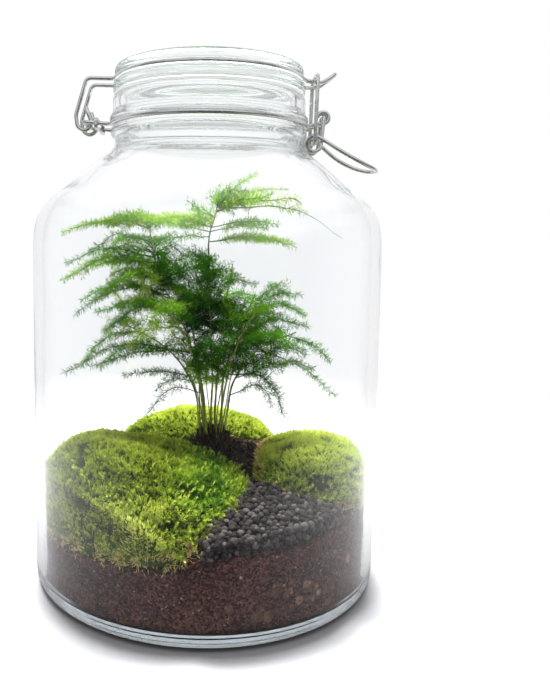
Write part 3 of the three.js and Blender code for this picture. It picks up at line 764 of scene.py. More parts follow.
def make_wires():
    a0 = math.degrees(math.asin(HINGE_LEG_Y / LID_RING[0]))
    a1 = math.degrees(math.asin(8.8 / LID_RING[0]))
    hx = -math.sqrt(LID_RING[0] ** 2 - HINGE_LEG_Y ** 2)
    tx = math.sqrt(LID_RING[0] ** 2 - 8.8 ** 2)
    y = -HINGE_LEG_Y
    hook = bent([(-63.0, y, 248.6), (-61.6, y, 244.6, 3.0),
                 (HINGE[0] + HINGE_LOOP_R * math.cos(math.radians(20)), y,
                  HINGE[1] + HINGE_LOOP_R * math.sin(math.radians(20)))])[:-1]
    hook += loop_xz(HINGE, HINGE_LOOP_R, 20, -180, y, y, 26)
    leg = bent([(HINGE[0] - HINGE_LOOP_R, y, HINGE[1]), (-68.2, y, 244.0, 6), (-62.4, y, 262.6, 3.2),
                (hx - 0.2, y, LID_RING[1], 2.4), (hx + 2.0, y - 9.0, LID_RING[1])])
    front = ring_arc(LID_RING, 180 + a0 + 8, 360 - a1 - 8, 60)
    tongue = bent([(tx + 1.2, -15.8, LID_RING[1]), (tx + 0.1, -8.8, LID_RING[1], 2.4), (52.2, -7.4, 262.2, 4),
                   (57.6, -5.4, 262.0, 6), (61.0, -3.6, 264.2, 4), (64.9, -2.2, 267.2, 2.0), (65.1, 0, 267.3)])
    half = hook + leg[1:-1] + front + tongue[1:]
    wire("lid_wire_loop", half + mirror_y(half[:-1]), "lid", ("lid_wire",))

    nx = -math.sqrt(NECK_RING[0] ** 2 - NECK_LEG_Y ** 2)
    ex = math.sqrt(NECK_RING[0] ** 2 - 9.3 ** 2)
    al = math.degrees(math.asin(NECK_LEG_Y / NECK_RING[0]))
    ar = math.degrees(math.asin(9.3 / NECK_RING[0]))
    eye = loop_xz(PIVOT, PIVOT_EYE_R, 180, -90, -PIVOT_EYE_Y, -PIVOT_EYE_Y, 30)
    to_ring = bent([(PIVOT[0], -PIVOT_EYE_Y, PIVOT[1] - PIVOT_EYE_R), (56.2, -PIVOT_EYE_Y, 241.8, 3),
                    (ex + 0.2, -9.3, NECK_RING[1], 2.4), (ex - 1.0, -15.3, NECK_RING[1])])
    front = ring_arc(NECK_RING, 360 - ar - 7, 180 + al + 7, 60)
    bar = bent([(nx + 1.6, -17.0, NECK_RING[1]), (nx - 0.1, -NECK_LEG_Y, NECK_RING[1], 2.4),
                (HINGE[0], -NECK_LEG_Y, HINGE[1], 2.2), (HINGE[0], 0, HINGE[1])])
    half = eye[:-1] + to_ring[:-1] + front + bar[1:]
    wire("neck_wire_loop", half + mirror_y(half[:-1]), "jar", ("neck_wire",))

    def side(s, rise):
        top = bent([(PIVOT[0], s * 0.9, PIVOT[1]), (PIVOT[0], s * LEVER_LEG_Y, PIVOT[1], 1.5),
                    (COIL[0] + COIL_R, s * LEVER_LEG_Y, COIL[1])])
        coil = loop_xz(COIL, COIL_R, 0, -302, s * LEVER_LEG_Y, s * LEVER_COIL_Y, 44)
        tail = catmull([coil[-1], (60.2, s * 7.3, 232.6 + rise * 0.3), (69.0, s * 8.0, 226.6 + rise),
                        (79.0, s * 7.8, 221.6 + rise * 0.8), (86.6, s * 4.6, 219.0 + rise * 0.3),
                        (LEVER_TIP[0], 0, LEVER_TIP[1])], 40)
        return top[:-1] + coil[:-1] + list(tail)

    a, b = side(-1, 1.0), side(1, -1.2)
    wire("closure_lever_loop", a + b[:-1][::-1], "lever", ("closure_lever",))
    wire("closure_bail_loop", bent([
        (COIL[0], -3.3, COIL[1]), (COIL[0], -BAIL_Y, COIL[1], 1.6), (BAIL_TOP[0], -BAIL_Y, BAIL_TOP[1], 3.0),
        (BAIL_TOP[0], BAIL_Y, BAIL_TOP[1], 3.0), (COIL[0], BAIL_Y, COIL[1], 1.6), (COIL[0], 3.3, COIL[1])]),
        "bail", ("closure_bail",))

    # The clip: a flat band bent round both legs, its edges eased.
    x, z = -57.3, 239.6 + 0.6 * (-57.3 + 49.9) / (HINGE[0] + 49.9)
    w, h, t = NECK_LEG_Y + WIRE_R + 0.3, WIRE_R + 0.3 + 0.15, 1.2
    mid_w, mid_h, mid_r = w + t / 2, h + t / 2, 1.1
    path = []
    for cy, cz, start in ((mid_w - mid_r, -mid_h + mid_r, -90), (mid_w - mid_r, mid_h - mid_r, 0),
                          (-mid_w + mid_r, mid_h - mid_r, 90), (-mid_w + mid_r, -mid_h + mid_r, 180)):
        for k in range(9):
            a = math.radians(start + 90 * k / 8)
            path.append((cy + mid_r * math.cos(a), cz + mid_r * math.sin(a), a))
    e = 0.25
    section = [(-0.9, -t / 2 + e), (-0.9 + e, -t / 2), (0.9 - e, -t / 2), (0.9, -t / 2 + e),
               (0.9, t / 2 - e), (0.9 - e, t / 2), (-0.9 + e, t / 2), (-0.9, t / 2 - e)]
    verts = []
    for py, pz, a in path:
        for sx, st in section:
            verts.append((x + sx, py + st * math.cos(a), z + pz + st * math.sin(a)))
    n, k = len(path), len(section)
    quad = [[i * k + j, i * k + (j + 1) % k, (i + 1) % n * k + (j + 1) % k, (i + 1) % n * k + j]
            for i in range(n) for j in range(k)]
    piece("neck_clip_band", verts, [np.array(quad)], STEEL, "jar", ("neck_wire_clip",), "closure_wire", smooth=False)


make_wires()

# ------------------------------------------------------------------ soil
WALL = 87.55
FLOOR_Z = 6.75


def soil_top(x, y):
    q = np.minimum(np.hypot(x, y) / 88.0, 1.0)
    turn = np.degrees(np.arctan2(y, x))
    bank = np.clip((turn + 101) / 20, 0, 1) * np.clip((-8 - turn) / 30, 0, 1)
    return 66 - 22 * q ** 1.6 + 0.07 * x + 0.07 * y + 5.0 * bank * bank * (3 - 2 * bank) * np.clip((q - 0.5) / 0.5, 0, 1) ** 1.5


def make_soil():
    n = 500
    ang = np.arange(n) * 2 * math.pi / n
    rows = [(30.0, FLOOR_Z, 0), (62.0, FLOOR_Z, 0), (79.0, FLOOR_Z, 0), (83.5, FLOOR_Z, 1), (85.6, FLOOR_Z + 0.12, 1),
            (86.8, FLOOR_Z + 0.6, 1), (87.5, FLOOR_Z + 1.6, 1)]
    sides = 40
    verts = [np.array([[0, 0, FLOOR_Z]])]
    for r, z, edge in rows:
        verts.append(np.stack([r * np.cos(ang), r * np.sin(ang), np.full(n, z)], axis=1))
    top_edge = soil_top(WALL * np.cos(ang), WALL * np.sin(ang))
    z0 = FLOOR_Z + 3.0
    for j in range(sides + 1):
        z = z0 + (top_edge - z0) * j / sides
        verts.append(np.stack([WALL * np.cos(ang), WALL * np.sin(ang), z], axis=1))
    for r in (86.6, 85.4, 84, 82, 79.5, 76.5, 73, 69, 64.5, 59.5, 54, 48, 42, 36, 30, 24, 18, 12, 6):
        x, y = r * np.cos(ang), r * np.sin(ang)
        verts.append(np.stack([x, y, soil_top(x, y)], axis=1))
    verts.append(np.array([[0, 0, float(soil_top(0.0, 0.0))]]))
    rings = len(verts) - 2
    v = np.concatenate(verts)
    # Clods and hollows, in from the wall and up and down on top.
    r = np.hypot(v[:, 0], v[:, 1])
    d = np.stack([v[:, 0], v[:, 1]], axis=1) / np.maximum(r, 1)[:, None]
    rough = fractal(v / 2.1, 21, 3)
    broad = fractal(v / 9.0, 31, 2)
    inward = np.clip(0.42 * (rough + 0.35) + 0.2 * broad, 0, 1.1)
    side = (r > 80) & (v[:, 2] > FLOOR_Z + 0.2)
    v[:, 0] -= np.where(side, d[:, 0] * inward, 0)
    v[:, 1] -= np.where(side, d[:, 1] * inward, 0)
    top = (v[:, 2] > soil_top(v[:, 0], v[:, 1]) - 2.0) & (r > 1)
    v[:, 2] += np.where(top, 0.8 * rough + 0.7 * broad - 0.3, 0)
    idx = [np.zeros(n, int)] + [1 + k * n + np.arange(n) for k in range(rings)] + [np.full(n, len(v) - 1)]
    tri, quad = [], []
    for a, e in zip(idx[:-1], idx[1:]):
        b, c = np.roll(a, -1), np.roll(e, -1)
        if a[0] == a[-1]:
            tri.append(np.stack([a, c, e], axis=1))
        elif e[0] == e[-1]:
            tri.append(np.stack([a, b, e], axis=1))
        else:
            quad.append(np.stack([a, b, c, e], axis=1))
    # the top of the soil is nearly black, most of all round the rootstock
    tint = 0.25 * rough + 0.35 * broad - np.where(top, 0.25 + 0.9 * np.exp(-(r / 66.0) ** 2), 0)
    piece("soil_bed", v, [np.concatenate(tri), np.concatenate(quad)], SOIL, "jar", ("soil",), "potting_soil",
          attrs={"tint": tint})

    rng = np.random.default_rng(11)
    m = 2100
    a = rng.uniform(0, 2 * math.pi, m)
    size = 0.42 + 0.75 * rng.random(m) ** 2.6
    edge = soil_top(WALL * np.cos(a), WALL * np.sin(a))
    z = FLOOR_Z + 2.5 + (edge - FLOOR_Z - 2.5) * rng.random(m)
    r = np.minimum(WALL - 0.55 * size - 0.15, WALL - 0.1 - np.clip(FLOOR_Z + 6 - z, 0, 4) * 0.8)
    centres = np.stack([r * np.cos(a), r * np.sin(a), z], axis=1)
    m2 = 900
    rr = 86 * np.sqrt(rng.random(m2))
    a2 = rng.uniform(0, 2 * math.pi, m2)
    x, y = rr * np.cos(a2), rr * np.sin(a2)
    size2 = 0.5 + 1.0 * rng.random(m2) ** 2
    centres = np.concatenate([centres, np.stack([x, y, soil_top(x, y) + 0.2], axis=1)])
    size = np.concatenate([size, size2])
    pts, faces, who = lumps(rng, centres, size, 0, 0.3, 0.6)
    rp = np.hypot(pts[:, 0], pts[:, 1])
    k = np.minimum(1.0, 87.65 / np.maximum(rp, 1))
    pts[:, :2] *= k[:, None]
    piece("soil_crumbs", pts, [faces], SOIL, "jar", (), "potting_soil", smooth=False,
          attrs={"tint": (rng.random(len(centres)) ** 3 * 1.7 - 0.5 - 0.8 * np.exp(-(np.hypot(centres[:, 0], centres[:, 1]) / 66.0) ** 2))[who]})

    # Expanded clay granules caught against the wall.
    spots = [(47.0, -73.9, 25.0, 4.0, 0.5), (43.0, -76.3, 18.5, 3.3, 0.45), (52.8, -69.9, 19.0, 3.7, 0.6),
             (67.5, -55.4, 29.0, 3.6, 0.5), (25.5, -83.5, 18.5, 2.7, 0.1), (12.0, -86.2, 18.0, 2.4, 0.05),
             (16.0, -85.6, 34.0, 1.0, 1.3), (-30.0, -82.0, 22.0, 1.6, 0.2), (60.5, -63.0, 36.0, 1.9, 0.35),
             (-58.0, -65.0, 19.0, 2.1, 0.15), (-75.0, 43.0, 22.0, 2.6, 0.4), (20.0, 84.5, 21.0, 2.9, 0.5),
             (55.0, 67.0, 27.0, 2.4, 0.2), (84.5, 18.0, 24.0, 2.7, 0.45), (-45.0, 74.5, 30.0, 2.2, 0.3)]
    # dark ones gather low down, most of them at the front right
    for lo, hi, count, top in ((-76, -40, 30, 27), (-40, 285, 44, 20)):
        for _ in range(count):
            a, z = math.radians(rng.uniform(lo, hi)), rng.uniform(11.5, top)
            spots.append((88 * math.cos(a), 88 * math.sin(a), z, rng.uniform(2.0, 4.0), rng.uniform(0.0, 0.36)))
    c = np.array([s[:3] for s in spots])
    size = np.array([s[3] for s in spots])
    r = np.hypot(c[:, 0], c[:, 1])
    c[:, :2] *= ((WALL - size * 0.72) / r)[:, None]
    pts, faces, who = lumps(rng, c, size, 2, 0.22, 0.8, 1.6)
    rp = np.hypot(pts[:, 0], pts[:, 1])
    pts[:, :2] *= np.minimum(1.0, 87.7 / np.maximum(rp, 1))[:, None]
    piece("soil_clay_granules", pts, [faces], CLAY, "jar", (), "potting_soil",
          attrs={"tint": np.array([s[4] for s in spots])[who]})


make_soil()

# ------------------------------------------------------------------ gravel
GRAVEL_OUTLINE = np.array([
    (-1, -92), (0, -74), (7, -63), (13, -54), (21, -43), (30, -39), (39.5, -44), (50, -49), (62, -56), (72, -61),
    (60, -92)], dtype=float)
MOUNDS = {
    # centre, half length to +X, half length to -X, half width, half height, turn, how boxy
    "moss_front": ((-46, -38.9, 46), (100, 45, 62, 38.3), 0.25, 2.1),
    "moss_right": ((58, -10, 50), (34, 34, 41, 25.5), -0.15, 2.5),
    "moss_back": ((-6, 48, 56), (50, 46, 32, 22), 0.05, 2.0),
    "root_crown": ((4.2, 5.0, 64), (13, 13, 12, 8.5), 0.0, 2.6),
}


def in_outline(x, y, poly, grow=0.0):
    inside = np.zeros(len(x), bool)
    c = poly.mean(0)
    p = c + (poly - c) * (1 + grow)
    j = len(p) - 1
    for i in range(len(p)):
        xi, yi, xj, yj = *p[i], *p[j]
        hit = ((yi > y) != (yj > y)) & (x < (xj - xi) * (y - yi) / (yj - yi + 1e-12) + xi)
        inside ^= hit
        j = i
    return inside


def slump(name, x, y):
    """How far the front mound's back runs down to the right, to the left and towards the glass in front."""
    front = np.clip((np.hypot(x, y) - 58) / 29, 0, 1) ** 1.5 * np.clip((-y - 25) / 40, 0, 1)
    return (0.178 * np.maximum(x + 54.5, 0) + 0.2 * np.maximum(-64 - x, 0) + 15 * front) * (name == "moss_front")


def in_mound(p, name, grow=0.0):
    (cx, cy, cz), (axp, axm, ay, az), turn, e = MOUNDS[name]
    dx, dy, dz = p[:, 0] - cx, p[:, 1] - cy, p[:, 2] - cz + slump(name, p[:, 0], p[:, 1])
    u = dx * math.cos(turn) + dy * math.sin(turn)
    w = -dx * math.sin(turn) + dy * math.cos(turn)
    ax = np.where(u > 0, axp, axm)
    return (np.abs(u / (ax + grow)) ** e + np.abs(w / (ay + grow)) ** e + np.abs(dz / (az + grow)) ** e) < 1


def make_gravel():
    rng = np.random.default_rng(23)
    pts = []
    step = 2.75
    for layer, lift in enumerate((1.4, 3.6, 5.2)):
        xs = np.arange(-14, 80, step)
        ys = np.arange(-88, -22, step * 0.87)
        gx, gy = np.meshgrid(xs, ys)
        gx = gx + (np.arange(len(ys)) % 2)[:, None] * step / 2 + layer * 0.9
        gy = gy + layer * 1.1
        x, y = gx.ravel(), gy.ravel()
        x = x + rng.uniform(-0.8, 0.8, len(x))
        y = y + rng.uniform(-0.8, 0.8, len(y))
        r = np.hypot(x, y)
        keep = in_outline(x, y, GRAVEL_OUTLINE, 0.02) & (r < 86.1)
        if layer < 2:
            edge = (r > 81) | ~in_outline(x, y, GRAVEL_OUTLINE, -0.12)
            keep &= edge | (layer == 1)
        z = soil_top(x, y) + lift + rng.uniform(-0.5, 0.5, len(x))
        dist_in = in_outline(x, y, GRAVEL_OUTLINE, -0.07)
        z = np.where(dist_in | (r > 80), z, z - 1.6)
        pts.append(np.stack([x, y, z], axis=1)[keep])
    # a row pressed on the glass
    a = np.radians(np.arange(-93, -44, 1.75))
    for lift in (0.6, 3.0, 5.3):
        jit = rng.uniform(-0.012, 0.012, len(a))
        x, y = 86.0 * np.cos(a + jit), 86.0 * np.sin(a + jit)
        z = soil_top(x, y) + lift + rng.uniform(-0.6, 0.6, len(a))
        pts.append(np.stack([x, y, z], axis=1)[in_outline(x, y, GRAVEL_OUTLINE, 0.0)])
    c = np.concatenate(pts)
    for name in ("moss_front", "moss_right"):
        c = c[~in_mound(c, name, -2.5)]
    # a few strays on the soil near by
    stray = np.array([(8, -50), (30, -33), (42, -38), (17, -41), (12, -46), (52, -43), (24, -34), (36, -36)], dtype=float)
    sz = soil_top(stray[:, 0], stray[:, 1]) + 1.2
    c = np.concatenate([c, np.column_stack([stray, sz])])
    size = rng.uniform(1.42, 2.08, len(c))
    v, f, who = lumps(rng, c, size, 1, 0.2, 0.78, 1.2)
    r = np.hypot(v[:, 0], v[:, 1])
    v[:, :2] *= np.minimum(1.0, 87.6 / np.maximum(r, 1))[:, None]
    piece("gravel_grains", v, [f], GRAVEL, "jar", ("gravel_patch",), "black_gravel",
          attrs={"tint": (rng.random(len(c)) ** 1.5)[who]})


make_gravel()


# ------------------------------------------------------------------ moss
def mound_mesh(name, nphi=120, nth=60, lump=1.6, seed=0, shrink=1.2):
    """The body under the moss: the mound's own shape, lumpy, cut by the wall and sunk in the soil."""
    (cx, cy, cz), (axp, axm, ay, az), turn, e = MOUNDS[name]
    th = np.linspace(0, math.pi, nth + 1)[1:-1]
    ph = np.arange(nphi) * 2 * math.pi / nphi
    T, P = np.meshgrid(th, ph, indexing="ij")
    d = np.stack([np.sin(T) * np.cos(P), np.sin(T) * np.sin(P), np.cos(T)], axis=-1).reshape(-1, 3)
    d = np.concatenate([d, [[0, 0, 1.0]], [[0, 0, -1.0]]])
    k = (np.abs(d) ** e).sum(1) ** (-1 / e)
    ax = np.where(d[:, 0] > 0, axp, axm)
    loc = d * k[:, None] * (np.stack([ax, np.full(len(d), ay), np.full(len(d), az)], axis=1) - shrink)
    p = np.stack([loc[:, 0] * math.cos(turn) - loc[:, 1] * math.sin(turn),
                  loc[:, 0] * math.sin(turn) + loc[:, 1] * math.cos(turn), loc[:, 2]], axis=1)
    outdir = unit(p)
    p = p + np.array([cx, cy, cz])
    lumpy = fractal(p / 15.0, seed + 40, 2)
    small = noise(p / 4.0, seed + 44)
    p = p + outdir * (lump * (lumpy - 0.25) + 0.55 * (small - 0.4))[:, None]
    p[:, 2] -= slump(name, p[:, 0], p[:, 1])
    # cut by the wall, along the line to the mound's centre
    c = np.array([cx, cy])
    rel = p[:, :2] - c
    limit = 87.1
    A = (rel ** 2).sum(1)
    B = 2 * (rel * c).sum(1)
    C = (c ** 2).sum() - limit ** 2
    t = (-B + np.sqrt(np.maximum(B * B - 4 * A * C, 0))) / np.maximum(2 * A, 1e-9)
    t = np.where(np.hypot(p[:, 0], p[:, 1]) > limit, np.minimum(t, 1), 1)
    centre = np.array([cx, cy, cz])
    p = centre + (p - centre) * t[:, None]
    low = soil_top(p[:, 0], p[:, 1])
    under = p[:, 2] < low - 0.3
    r = np.hypot(p[:, 0], p[:, 1])
    pull = np.where(under & (r > 84), 84 / np.maximum(r, 1), 1)
    p[:, :2] *= pull[:, None]
    p[:, 2] = np.maximum(p[:, 2], low - 3.0)
    rows = len(th)
    i = np.arange(rows - 1)[:, None] * nphi
    j = np.arange(nphi)[None, :]
    quad = np.stack([i + j, i + nphi + j, i + nphi + (j + 1) % nphi, i + (j + 1) % nphi], axis=-1).reshape(-1, 4)
    top, bottom = len(p) - 2, len(p) - 1
    j = np.arange(nphi)
    last = (rows - 1) * nphi
    tri = np.concatenate([np.stack([np.full(nphi, top), j, (j + 1) % nphi], axis=1),
                          np.stack([np.full(nphi, bottom), last + (j + 1) % nphi, last + j], axis=1)])
    return p, tri, quad


def surface_samples(rng, p, tri, quad, n, ok=None):
    """Points spread evenly over a mesh, with its smooth normals."""
    tris = np.concatenate([tri, quad[:, [0, 1, 2]], quad[:, [0, 2, 3]]])
    a, b, c = p[tris[:, 0]], p[tris[:, 1]], p[tris[:, 2]]
    fn = np.cross(b - a, c - a)
    area = np.linalg.norm(fn, axis=1)
    vn = np.zeros_like(p)
    for k in range(3):
        np.add.at(vn, tris[:, k], fn)
    vn = unit(vn)
    mid = (a + b + c) / 3
    if ok is not None:
        area = area * ok(mid)
    pick = rng.choice(len(tris), size=n, p=area / area.sum())
    u, v = rng.random(n), rng.random(n)
    flip = u + v > 1
    u, v = np.where(flip, 1 - u, u), np.where(flip, 1 - v, v)
    w = 1 - u - v
    pos = w[:, None] * a[pick] + u[:, None] * b[pick] + v[:, None] * c[pick]
    nor = unit(w[:, None] * vn[tris[pick, 0]] + u[:, None] * vn[tris[pick, 1]] + v[:, None] * vn[tris[pick, 2]])
    return pos, nor


def cross_axes(d, rng):
    side = unit(np.cross(d, rng.normal(size=d.shape)))
    return side, np.cross(d, side)


def shoots(rng, pos, d, height, leaves, leaf_len, leaf_wide, open_angle=0.9, taper=0.5):
    """Leafy shoots: each leaf is a folded pair of triangles. Returns points, triangles, how far up and out each
    point is, and which shoot it belongs to."""
    n = len(pos)
    e1, e2 = cross_axes(d, rng)
    turn0 = rng.uniform(0, 2 * math.pi, n)
    V, up, who = [], [], []
    for j in range(leaves):
        u = (j + 0.6) / leaves
        a = turn0 + j * GOLD + rng.uniform(-0.3, 0.3, n)
        rad = e1 * np.cos(a)[:, None] + e2 * np.sin(a)[:, None]
        spread = open_angle * (1 - 0.55 * u) * rng.uniform(0.75, 1.2, n)
        ld = unit(d * np.cos(spread)[:, None] + rad * np.sin(spread)[:, None])
        side = unit(np.cross(ld, rad + d * 0.3))
        back = np.cross(side, ld)
        length = leaf_len * (1 - taper * abs(u - 0.55)) * rng.uniform(0.75, 1.2, n)
        base = pos + d * (height * u)[:, None]
        mid = base + ld * (length * 0.42)[:, None]
        w = leaf_wide * rng.uniform(0.8, 1.2, n)
        left = mid + side * (w * 0.5)[:, None] + back * (w * 0.22)[:, None]
        right = mid - side * (w * 0.5)[:, None] + back * (w * 0.22)[:, None]
        tip = base + ld * length[:, None] + back * (length * 0.08)[:, None]
        V.append(np.stack([base, left, right, tip], axis=1))
        up.append(np.broadcast_to(np.array([0.25, 0.6, 0.6, 1.0]) * (0.35 + 0.65 * u), (n, 4)))
        who.append(np.broadcast_to(np.arange(n)[:, None], (n, 4)))
    V = np.stack(V, axis=1).reshape(-1, 3)
    up = np.stack(up, axis=1).reshape(-1)
    who = np.stack(who, axis=1).reshape(-1)
    m = np.arange(n * leaves)[:, None] * 4
    tri = np.concatenate([m + np.array([[0, 3, 1]]), m + np.array([[0, 2, 3]])])
    return V, tri, up, who


def press(v, limit):
    r = np.hypot(v[:, 0], v[:, 1])
    v[:, :2] *= np.minimum(1.0, limit / np.maximum(r, 1))[:, None]
    return v


def make_moss():
    rng = np.random.default_rng(5)
    plans = {
        # name: shoots, leaves each, long strands, leaf length, width, height
        # pale is painted light: it lifts the tint of the right and back mounds, which the light reaches less
        "moss_front": dict(n=10600, leaves=7, strands=760, llen=2.3, lw=0.44, h=2.5, lump=2.3, seed=1, pale=0.0),
        "moss_right": dict(n=4300, leaves=7, strands=240, llen=2.6, lw=0.44, h=3.2, lump=1.3, seed=2, pale=0.13),
        "moss_back": dict(n=3200, leaves=6, strands=100, llen=2.2, lw=0.5, h=2.2, lump=1.2, seed=3, pale=0.16),
    }
    # brown old growth shows only where the front mound meets the glass
    others = {"moss_front": ("moss_right", "moss_back"), "moss_right": ("moss_front",),
              "moss_back": ("moss_front", "moss_right")}
    for name, q in plans.items():
        p, tri, quad = mound_mesh(name, lump=q["lump"], seed=q["seed"])
        bed = Bag()
        r = np.hypot(p[:, 0], p[:, 1])
        base_tint = 0.06 + 0.1 * fractal(p / 9.0, 70 + q["seed"], 2)
        bed.add(p, tri, quad, tint=base_tint, green=np.full(len(p), 0.4))

        def ok(m):
            keep = m[:, 2] > soil_top(m[:, 0], m[:, 1]) - 0.2
            for o in others[name]:
                keep &= ~in_mound(m, o, -3.0)
            keep &= ~in_outline(m[:, 0], m[:, 1], GRAVEL_OUTLINE, -0.06) | (m[:, 2] > soil_top(m[:, 0], m[:, 1]) + 1.5)
            return keep.astype(float)

        pos, nor = surface_samples(rng, p, tri, quad, q["n"], ok)
        above = pos[:, 2] - soil_top(pos[:, 0], pos[:, 1])
        patch = fractal(pos / 11.0, 90 + q["seed"], 3)
        clump = noise(pos / 3.4, 95 + q["seed"])
        lean = unit(np.stack([noise(pos / 7.0, 51), noise(pos / 7.0, 52), 0.3 * noise(pos / 7.0, 53)], axis=1))
        d = unit(nor * 0.85 + np.array([0, 0, 0.5]) + lean * 0.45 + rng.normal(size=nor.shape) * 0.28)
        rr = np.hypot(pos[:, 0], pos[:, 1])
        at_wall = rr > 85.5
        radial = np.stack([pos[:, 0] / rr, pos[:, 1] / rr, np.zeros(len(rr))], axis=1)
        inward = (d * radial).sum(1)
        d = np.where(at_wall[:, None], unit(d - radial * (inward - 0.05)[:, None]), d)
        height = q["h"] * (0.75 + 0.35 * clump) * rng.uniform(0.7, 1.25, len(pos))
        hollow = np.clip((noise(pos / 6.5, 140 + q["seed"]) - 0.42) * 4, 0, 1)
        height = height * (1 - 0.65 * hollow)
        # the tufted lower middle of the front mound is shaggy and full of hollows, its right side a deeper green
        if name == "moss_front":
            tuft = np.exp(-((pos[:, 0] + 28) / 20) ** 2 - ((pos[:, 2] - 55) / 11) ** 2) * (pos[:, 1] < -30)
            deep = np.exp(-((pos[:, 0] - 2) / 17) ** 2 - ((pos[:, 2] - 62) / 13) ** 2)
            crest = np.clip((pos[:, 2] - 70) / 12, 0, 1)
        else:
            tuft = np.zeros(len(pos))
            deep = 0.25 * (noise(pos / 16.0, 77) > 0.5)
            crest = np.clip((pos[:, 2] - MOUNDS[name][0][2] - 0.6 * MOUNDS[name][1][3]) / 8, 0, 1)
        holes = np.clip((noise(pos / 5.4, 170 + q["seed"]) - 0.44) * 5, 0, 1)
        height = height * (1 + 0.95 * tuft * (1 - holes) - 0.25 * crest)
        green = np.clip(0.12 + 0.75 * deep + 0.55 * (fractal(pos / 17.0, 180 + q["seed"], 2) - 0.35) - 0.4 * tuft, 0, 1)
        v, f, up, who = shoots(rng, pos - nor * 0.5, d, height, q["leaves"], q["llen"], q["lw"], open_angle=0.68)
        # Painted shade and light in the shoots' tint: shoots in hollows and in the gaps between tufts are darker, and
        # the lower front and the shoots pressed on the glass are lighter, to make up for their shade. The patches,
        # clumps, yellow tufts and pale crests are the moss's own colour.
        shoot_tint_and_painted_light = 0.2 * (patch - 0.12) + 0.12 * clump + rng.normal(0, 0.045, len(pos)) - 0.42 * hollow + q["pale"]
        shoot_tint_and_painted_light = shoot_tint_and_painted_light + 0.36 * tuft * (1 - 2.2 * holes) + 0.28 * crest + 0.19 * np.clip((64 - pos[:, 2]) / 14, 0, 1) + 0.24 * at_wall
        dry = np.clip(1 - above / 8.0, 0, 1) * np.clip(0.6 + 0.9 * clump, 0, 1) * ((rr > 80) | (name == "moss_right"))
        live = Bag()
        # each leaf is darker at its foot, deep in the cushion, than at its tip: partly its own older growth, partly
        # painted shade
        tint = 0.03 + 0.66 * up + shoot_tint_and_painted_light[who]
        brown = (dry[who] > 0.40)
        v = press(v, 87.75)
        keep_tri = ~brown[f[:, 0]]
        live.add(v, f[keep_tri], tint=np.clip(tint, 0, 1), green=green[who])
        # long feathery strands that stand out and hang over
        pos2, nor2 = surface_samples(rng, p, tri, quad, q["strands"], lambda m: ok(m) * (
            0.25 + 0.75 * (m[:, 2] < MOUNDS[name][0][2] + 0.72 * MOUNDS[name][1][3])
            + (name == "moss_front") * 3.2 * np.exp(-((m[:, 0] + 26) / 20) ** 2 - ((m[:, 2] - 55) / 11) ** 2)))
        drop = unit(nor2 * 0.8 + rng.normal(size=nor2.shape) * 0.45 + np.array([0, 0, 0.15]))
        rr2 = np.hypot(pos2[:, 0], pos2[:, 1])
        radial2 = np.stack([pos2[:, 0] / rr2, pos2[:, 1] / rr2, np.zeros(len(rr2))], axis=1)
        inw = (drop * radial2).sum(1)
        drop = np.where((rr2 > 82)[:, None], unit(drop - radial2 * inw[:, None] + np.array([0, 0, -0.35])), drop)
        h2 = rng.uniform(2.8, 4.6, len(pos2))
        v2, f2, up2, who2 = shoots(rng, pos2, drop, h2, 14, 1.5, 0.42, open_angle=0.75)
        # the strands' leaves too are darker at the foot: partly older growth, partly painted shade
        t2 = 0.27 + 0.62 * up2 + rng.normal(0.06, 0.09, len(pos2))[who2]
        live.add(press(v2, 87.75), f2, tint=np.clip(t2, 0, 1), green=np.clip(rng.normal(0.15, 0.2, len(pos2)), 0, 1)[who2])
        full = Bag()
        full.add(np.concatenate(bed.v), np.concatenate(bed.tri), np.concatenate(bed.quad), tint=base_tint,
                 green=np.full(len(p), 0.4))
        full.add(np.concatenate(live.v), np.concatenate(live.tri), tint=np.concatenate(live.attrs["tint"]),
                 green=np.concatenate(live.attrs["green"]))
        full.make(name + "_cushion", MOSS, body="jar", replaces=(name,), slot="moss", smooth=False)
        if keep_tri.all():
            continue
        # the old brown growth along the lower edge, with fine rootlets
        fb = f[~keep_tri]
        used, inverse = np.unique(fb.ravel(), return_inverse=True)
        dead = Bag()
        dead.add(v[used], inverse.reshape(-1, 3), tint=np.clip(0.35 + 0.65 * up[used] + rng.normal(0, 0.08, len(used)), 0, 1))
        low = np.flatnonzero((above < 3.5) & (rr > (70 if name == "moss_back" else 81)))
        if len(low):
            pick = rng.choice(low, 330 if name == "moss_front" else 90)
            fall = unit(d[pick] * 0.5 + rng.normal(size=(len(pick), 3)) * 0.7 + np.array([0, 0, -0.55]))
            vr, fr_, upr, whor = shoots(rng, pos[pick], fall, rng.uniform(2.4, 5.6, len(pick)), 3, 3.6, 0.24, open_angle=0.7)
            dead.add(press(vr, 87.75), fr_, tint=np.clip(0.9 + rng.normal(0, 0.15, len(pick))[whor], 0, 1))
        dead.make(name + "_dry_edge", MOSS_BROWN, body="jar", slot="moss", smooth=False)


make_moss()


# ------------------------------------------------------------------ rootstock
def crown_top(x, y):
    q = abs((x - 4.2) / 13) ** 2.6 + abs((y - 5.0) / 12) ** 2.6
    return 64 + 8.5 * max(1 - q, 0) ** (1 / 2.6)


